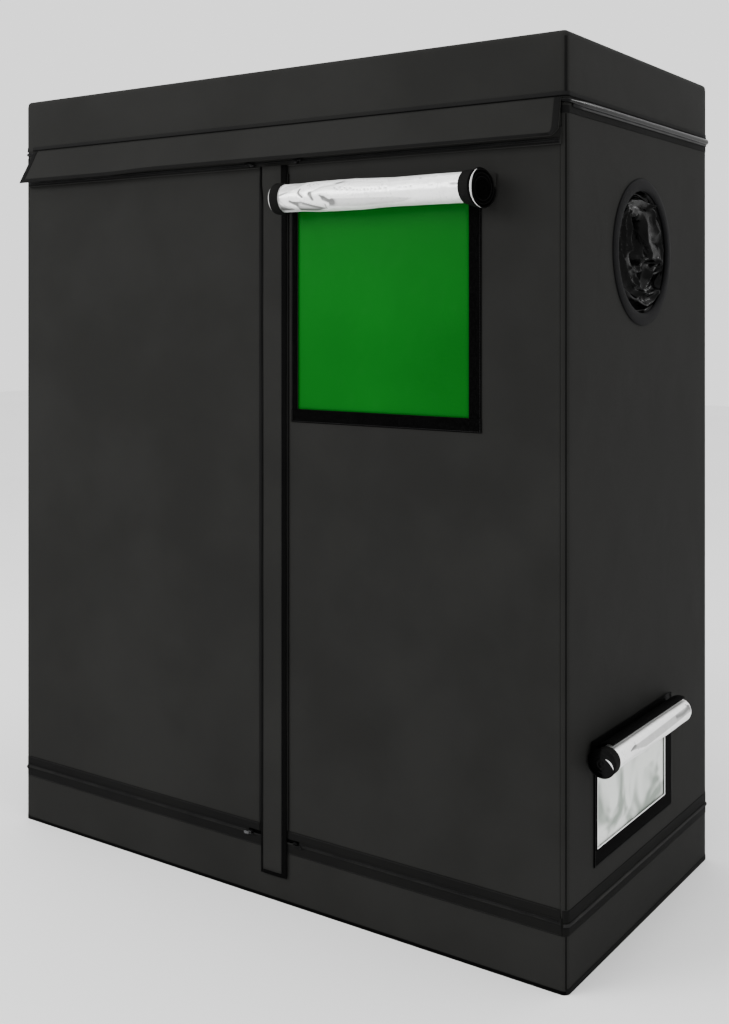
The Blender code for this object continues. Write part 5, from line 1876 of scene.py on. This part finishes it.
put(crown, "shell", "charcoal_cloth", "roof_crown")
put(crown_piping, "shell", "black_webbing")
for piece in (*crown_seam_tapes_and_shades, *corner_seams, *foot_tapes):
    put(piece, "shell", "black_webbing")
put(tub, "shell", "charcoal_cloth", "floor_tub")
put(back_wall, "shell", "charcoal_cloth", "back_wall")
put(header, "shell", "charcoal_cloth", "front_header")
put(foot_ridge, "shell", "black_coil")
put(tray, "shell", "silver_film", "floor_tray")
put(shell_stitches, "shell", "black_webbing")
for label, (tape, row, backing) in fixed_zips.items():
    put(tape, "shell", "black_coil", label)
    put(row, "shell", "black_coil", label)
    for piece in backing:
        put(piece, "shell", "black_webbing")
for side, label in SIDES:
    vent, port, roll_body = vents[label], ports[label], f"{label}_vent_roll"
    put(walls[label], "shell", "charcoal_cloth", f"{label}_wall")
    put(port["ring"], "shell", "black_webbing", f"{label}_port_ring")
    put(port["sleeve"], "shell", "black_webbing", f"{label}_port_sleeve")
    put(port["stitches"], "shell", "black_webbing")
    put(vent["mesh"], "shell", "pale_mesh", f"{label}_vent_mesh")
    for piece in vent["borders"]:
        put(piece, "shell", "black_webbing", f"{label}_vent_border")
    for piece in vent["edging"]:
        put(piece, "shell", "silver_film")
    put(vent["stitches"], "shell", "black_webbing")
    put(vent["roll"], roll_body, "silver_film", roll_body)
    for piece in vent["bands"]:
        put(piece, roll_body, "black_webbing")
    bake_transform(vent["cover"])
    x, body = side * HINGE_X, f"{label}_door"
    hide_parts(body)
    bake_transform(doors[label])
    tapes, row = door_zips[label]
    for piece in (*tapes, row):
        put(piece, body, "black_coil", f"{label}_door_zip")
    put(door_stitches[label], body, "black_webbing")
print("shell, walls and doors ride")

# %% Window, covers and flaps
put(pane, "right_door", "green_vinyl", "window_pane")
for piece in window_frame:
    put(piece, "right_door", "black_webbing", "window_border")
put(window_stitches, "right_door", "black_webbing")
put(flap_root, "right_door", "black_webbing")
put(window_roll, "window_roll", "silver_film", "window_roll")
for piece in window_bands:
    put(piece, "window_roll", "black_webbing")
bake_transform(window_cover)
put(centre_flap, "centre_storm_flap", "charcoal_cloth", "centre_storm_flap")
for piece in (*centre_flap_trim, flap_stitches):
    put(piece, "centre_storm_flap", "black_webbing")
put(top_flap, "top_storm_flap", "charcoal_cloth", "top_storm_flap")
for piece in top_flap_trim:
    put(piece, "top_storm_flap", "black_webbing")
print("window, covers and flaps ride")

# %% Each side's wall, vent and port
for side, label in SIDES:
    wall, vent, port = walls[label], vents[label], ports[label]

# %% [markdown]
# ## Studio
# The photograph is a product shot on white: soft light from all round and hardly a shadow.
# A pale floor, a white world and three large area lights give that. A small light behind the
# right side adds the glint on the piping.

# %% Floor, world and lights
clear_selection()
bpy.ops.mesh.primitive_grid_add(x_subdivisions=8, y_subdivisions=8, size=24, location=(0, 0, 0))
floor = named("studio_floor")
floor_paint = Paint("pale_floor", Specular_IOR_Level=0.1)
floor_spots = floor_paint.level(floor_paint.noise(floor_paint.solid(), 0.8, 2.0), 0.2, 0.8)
floor_paint.set("Base Color", floor_paint.mix(floor_spots, (0.86, 0.86, 0.86), (0.89, 0.89, 0.89)))
floor_paint.set("Roughness", 0.8 + floor_spots * 0.1)
floor.data.materials.append(floor_paint.material)

world = bpy.data.worlds.new("studio_world")
world.use_nodes = True
world.node_tree.nodes["Background"].inputs["Color"].default_value = (1.0, 1.0, 1.0, 1.0)
world.node_tree.nodes["Background"].inputs["Strength"].default_value = 1.6
bpy.context.scene.world = world


def soft_light(name, place, aim, size, power):
    data = bpy.data.lights.new(name, "AREA")
    data.shape = "RECTANGLE"
    data.size, data.size_y = size
    data.energy = power
    lamp = bpy.data.objects.new(name, data)
    bpy.context.scene.collection.objects.link(lamp)
    lamp.location = place
    direction = np.array(aim, dtype=float) - np.array(place, dtype=float)
    turn = math.atan2(direction[0], -direction[1])
    tilt = math.atan2(math.hypot(direction[0], direction[1]), -direction[2])
    lamp.rotation_euler = (tilt, 0.0, turn + math.pi)
    lamp.visible_camera = False


soft_light("key_light", (-2.2, -3.4, 2.6), (0, 0, 0.8), (2.4, 1.8), 145)
soft_light("side_light", (3.6, -1.2, 2.2), (0, 0, 0.9), (1.8, 2.2), 6)
soft_light("top_light", (0.2, -0.4, 3.8), (0, 0, 1.0), (2.6, 2.0), 45)
soft_light("glint_light", (2.2, 3.2, 2.8), (0.61, 0, 1.3), (0.6, 0.6), 14)
print("lights:", len(bpy.data.lights))

# %% [markdown]
# ## Camera
# The uprights stay parallel in the photograph, so the camera was level and its lens was
# shifted down. The place and the lens come from fitting the tent's corners.

# %% The photograph's camera
CAMERA_AT = (1.4709, -2.1028, 1.0427)
CAMERA_TURN = 0.60895
camera_data = bpy.data.cameras.new("photo_camera")
camera = bpy.data.objects.new("photo_camera", camera_data)
bpy.context.scene.collection.objects.link(camera)
camera.location = CAMERA_AT
camera.rotation_euler = (math.pi / 2, 0.0, CAMERA_TURN)
camera_data.sensor_width = 36.0
camera_data.sensor_fit = "AUTO"
camera_data.lens = 45.42
camera_data.shift_x = 0.00901
camera_data.shift_y = -0.1952
camera_data.clip_start, camera_data.clip_end = 0.05, 60.0
bpy.context.scene.camera = camera
print("camera at", CAMERA_AT, "with a lens of", round(camera_data.lens, 2), "mm")
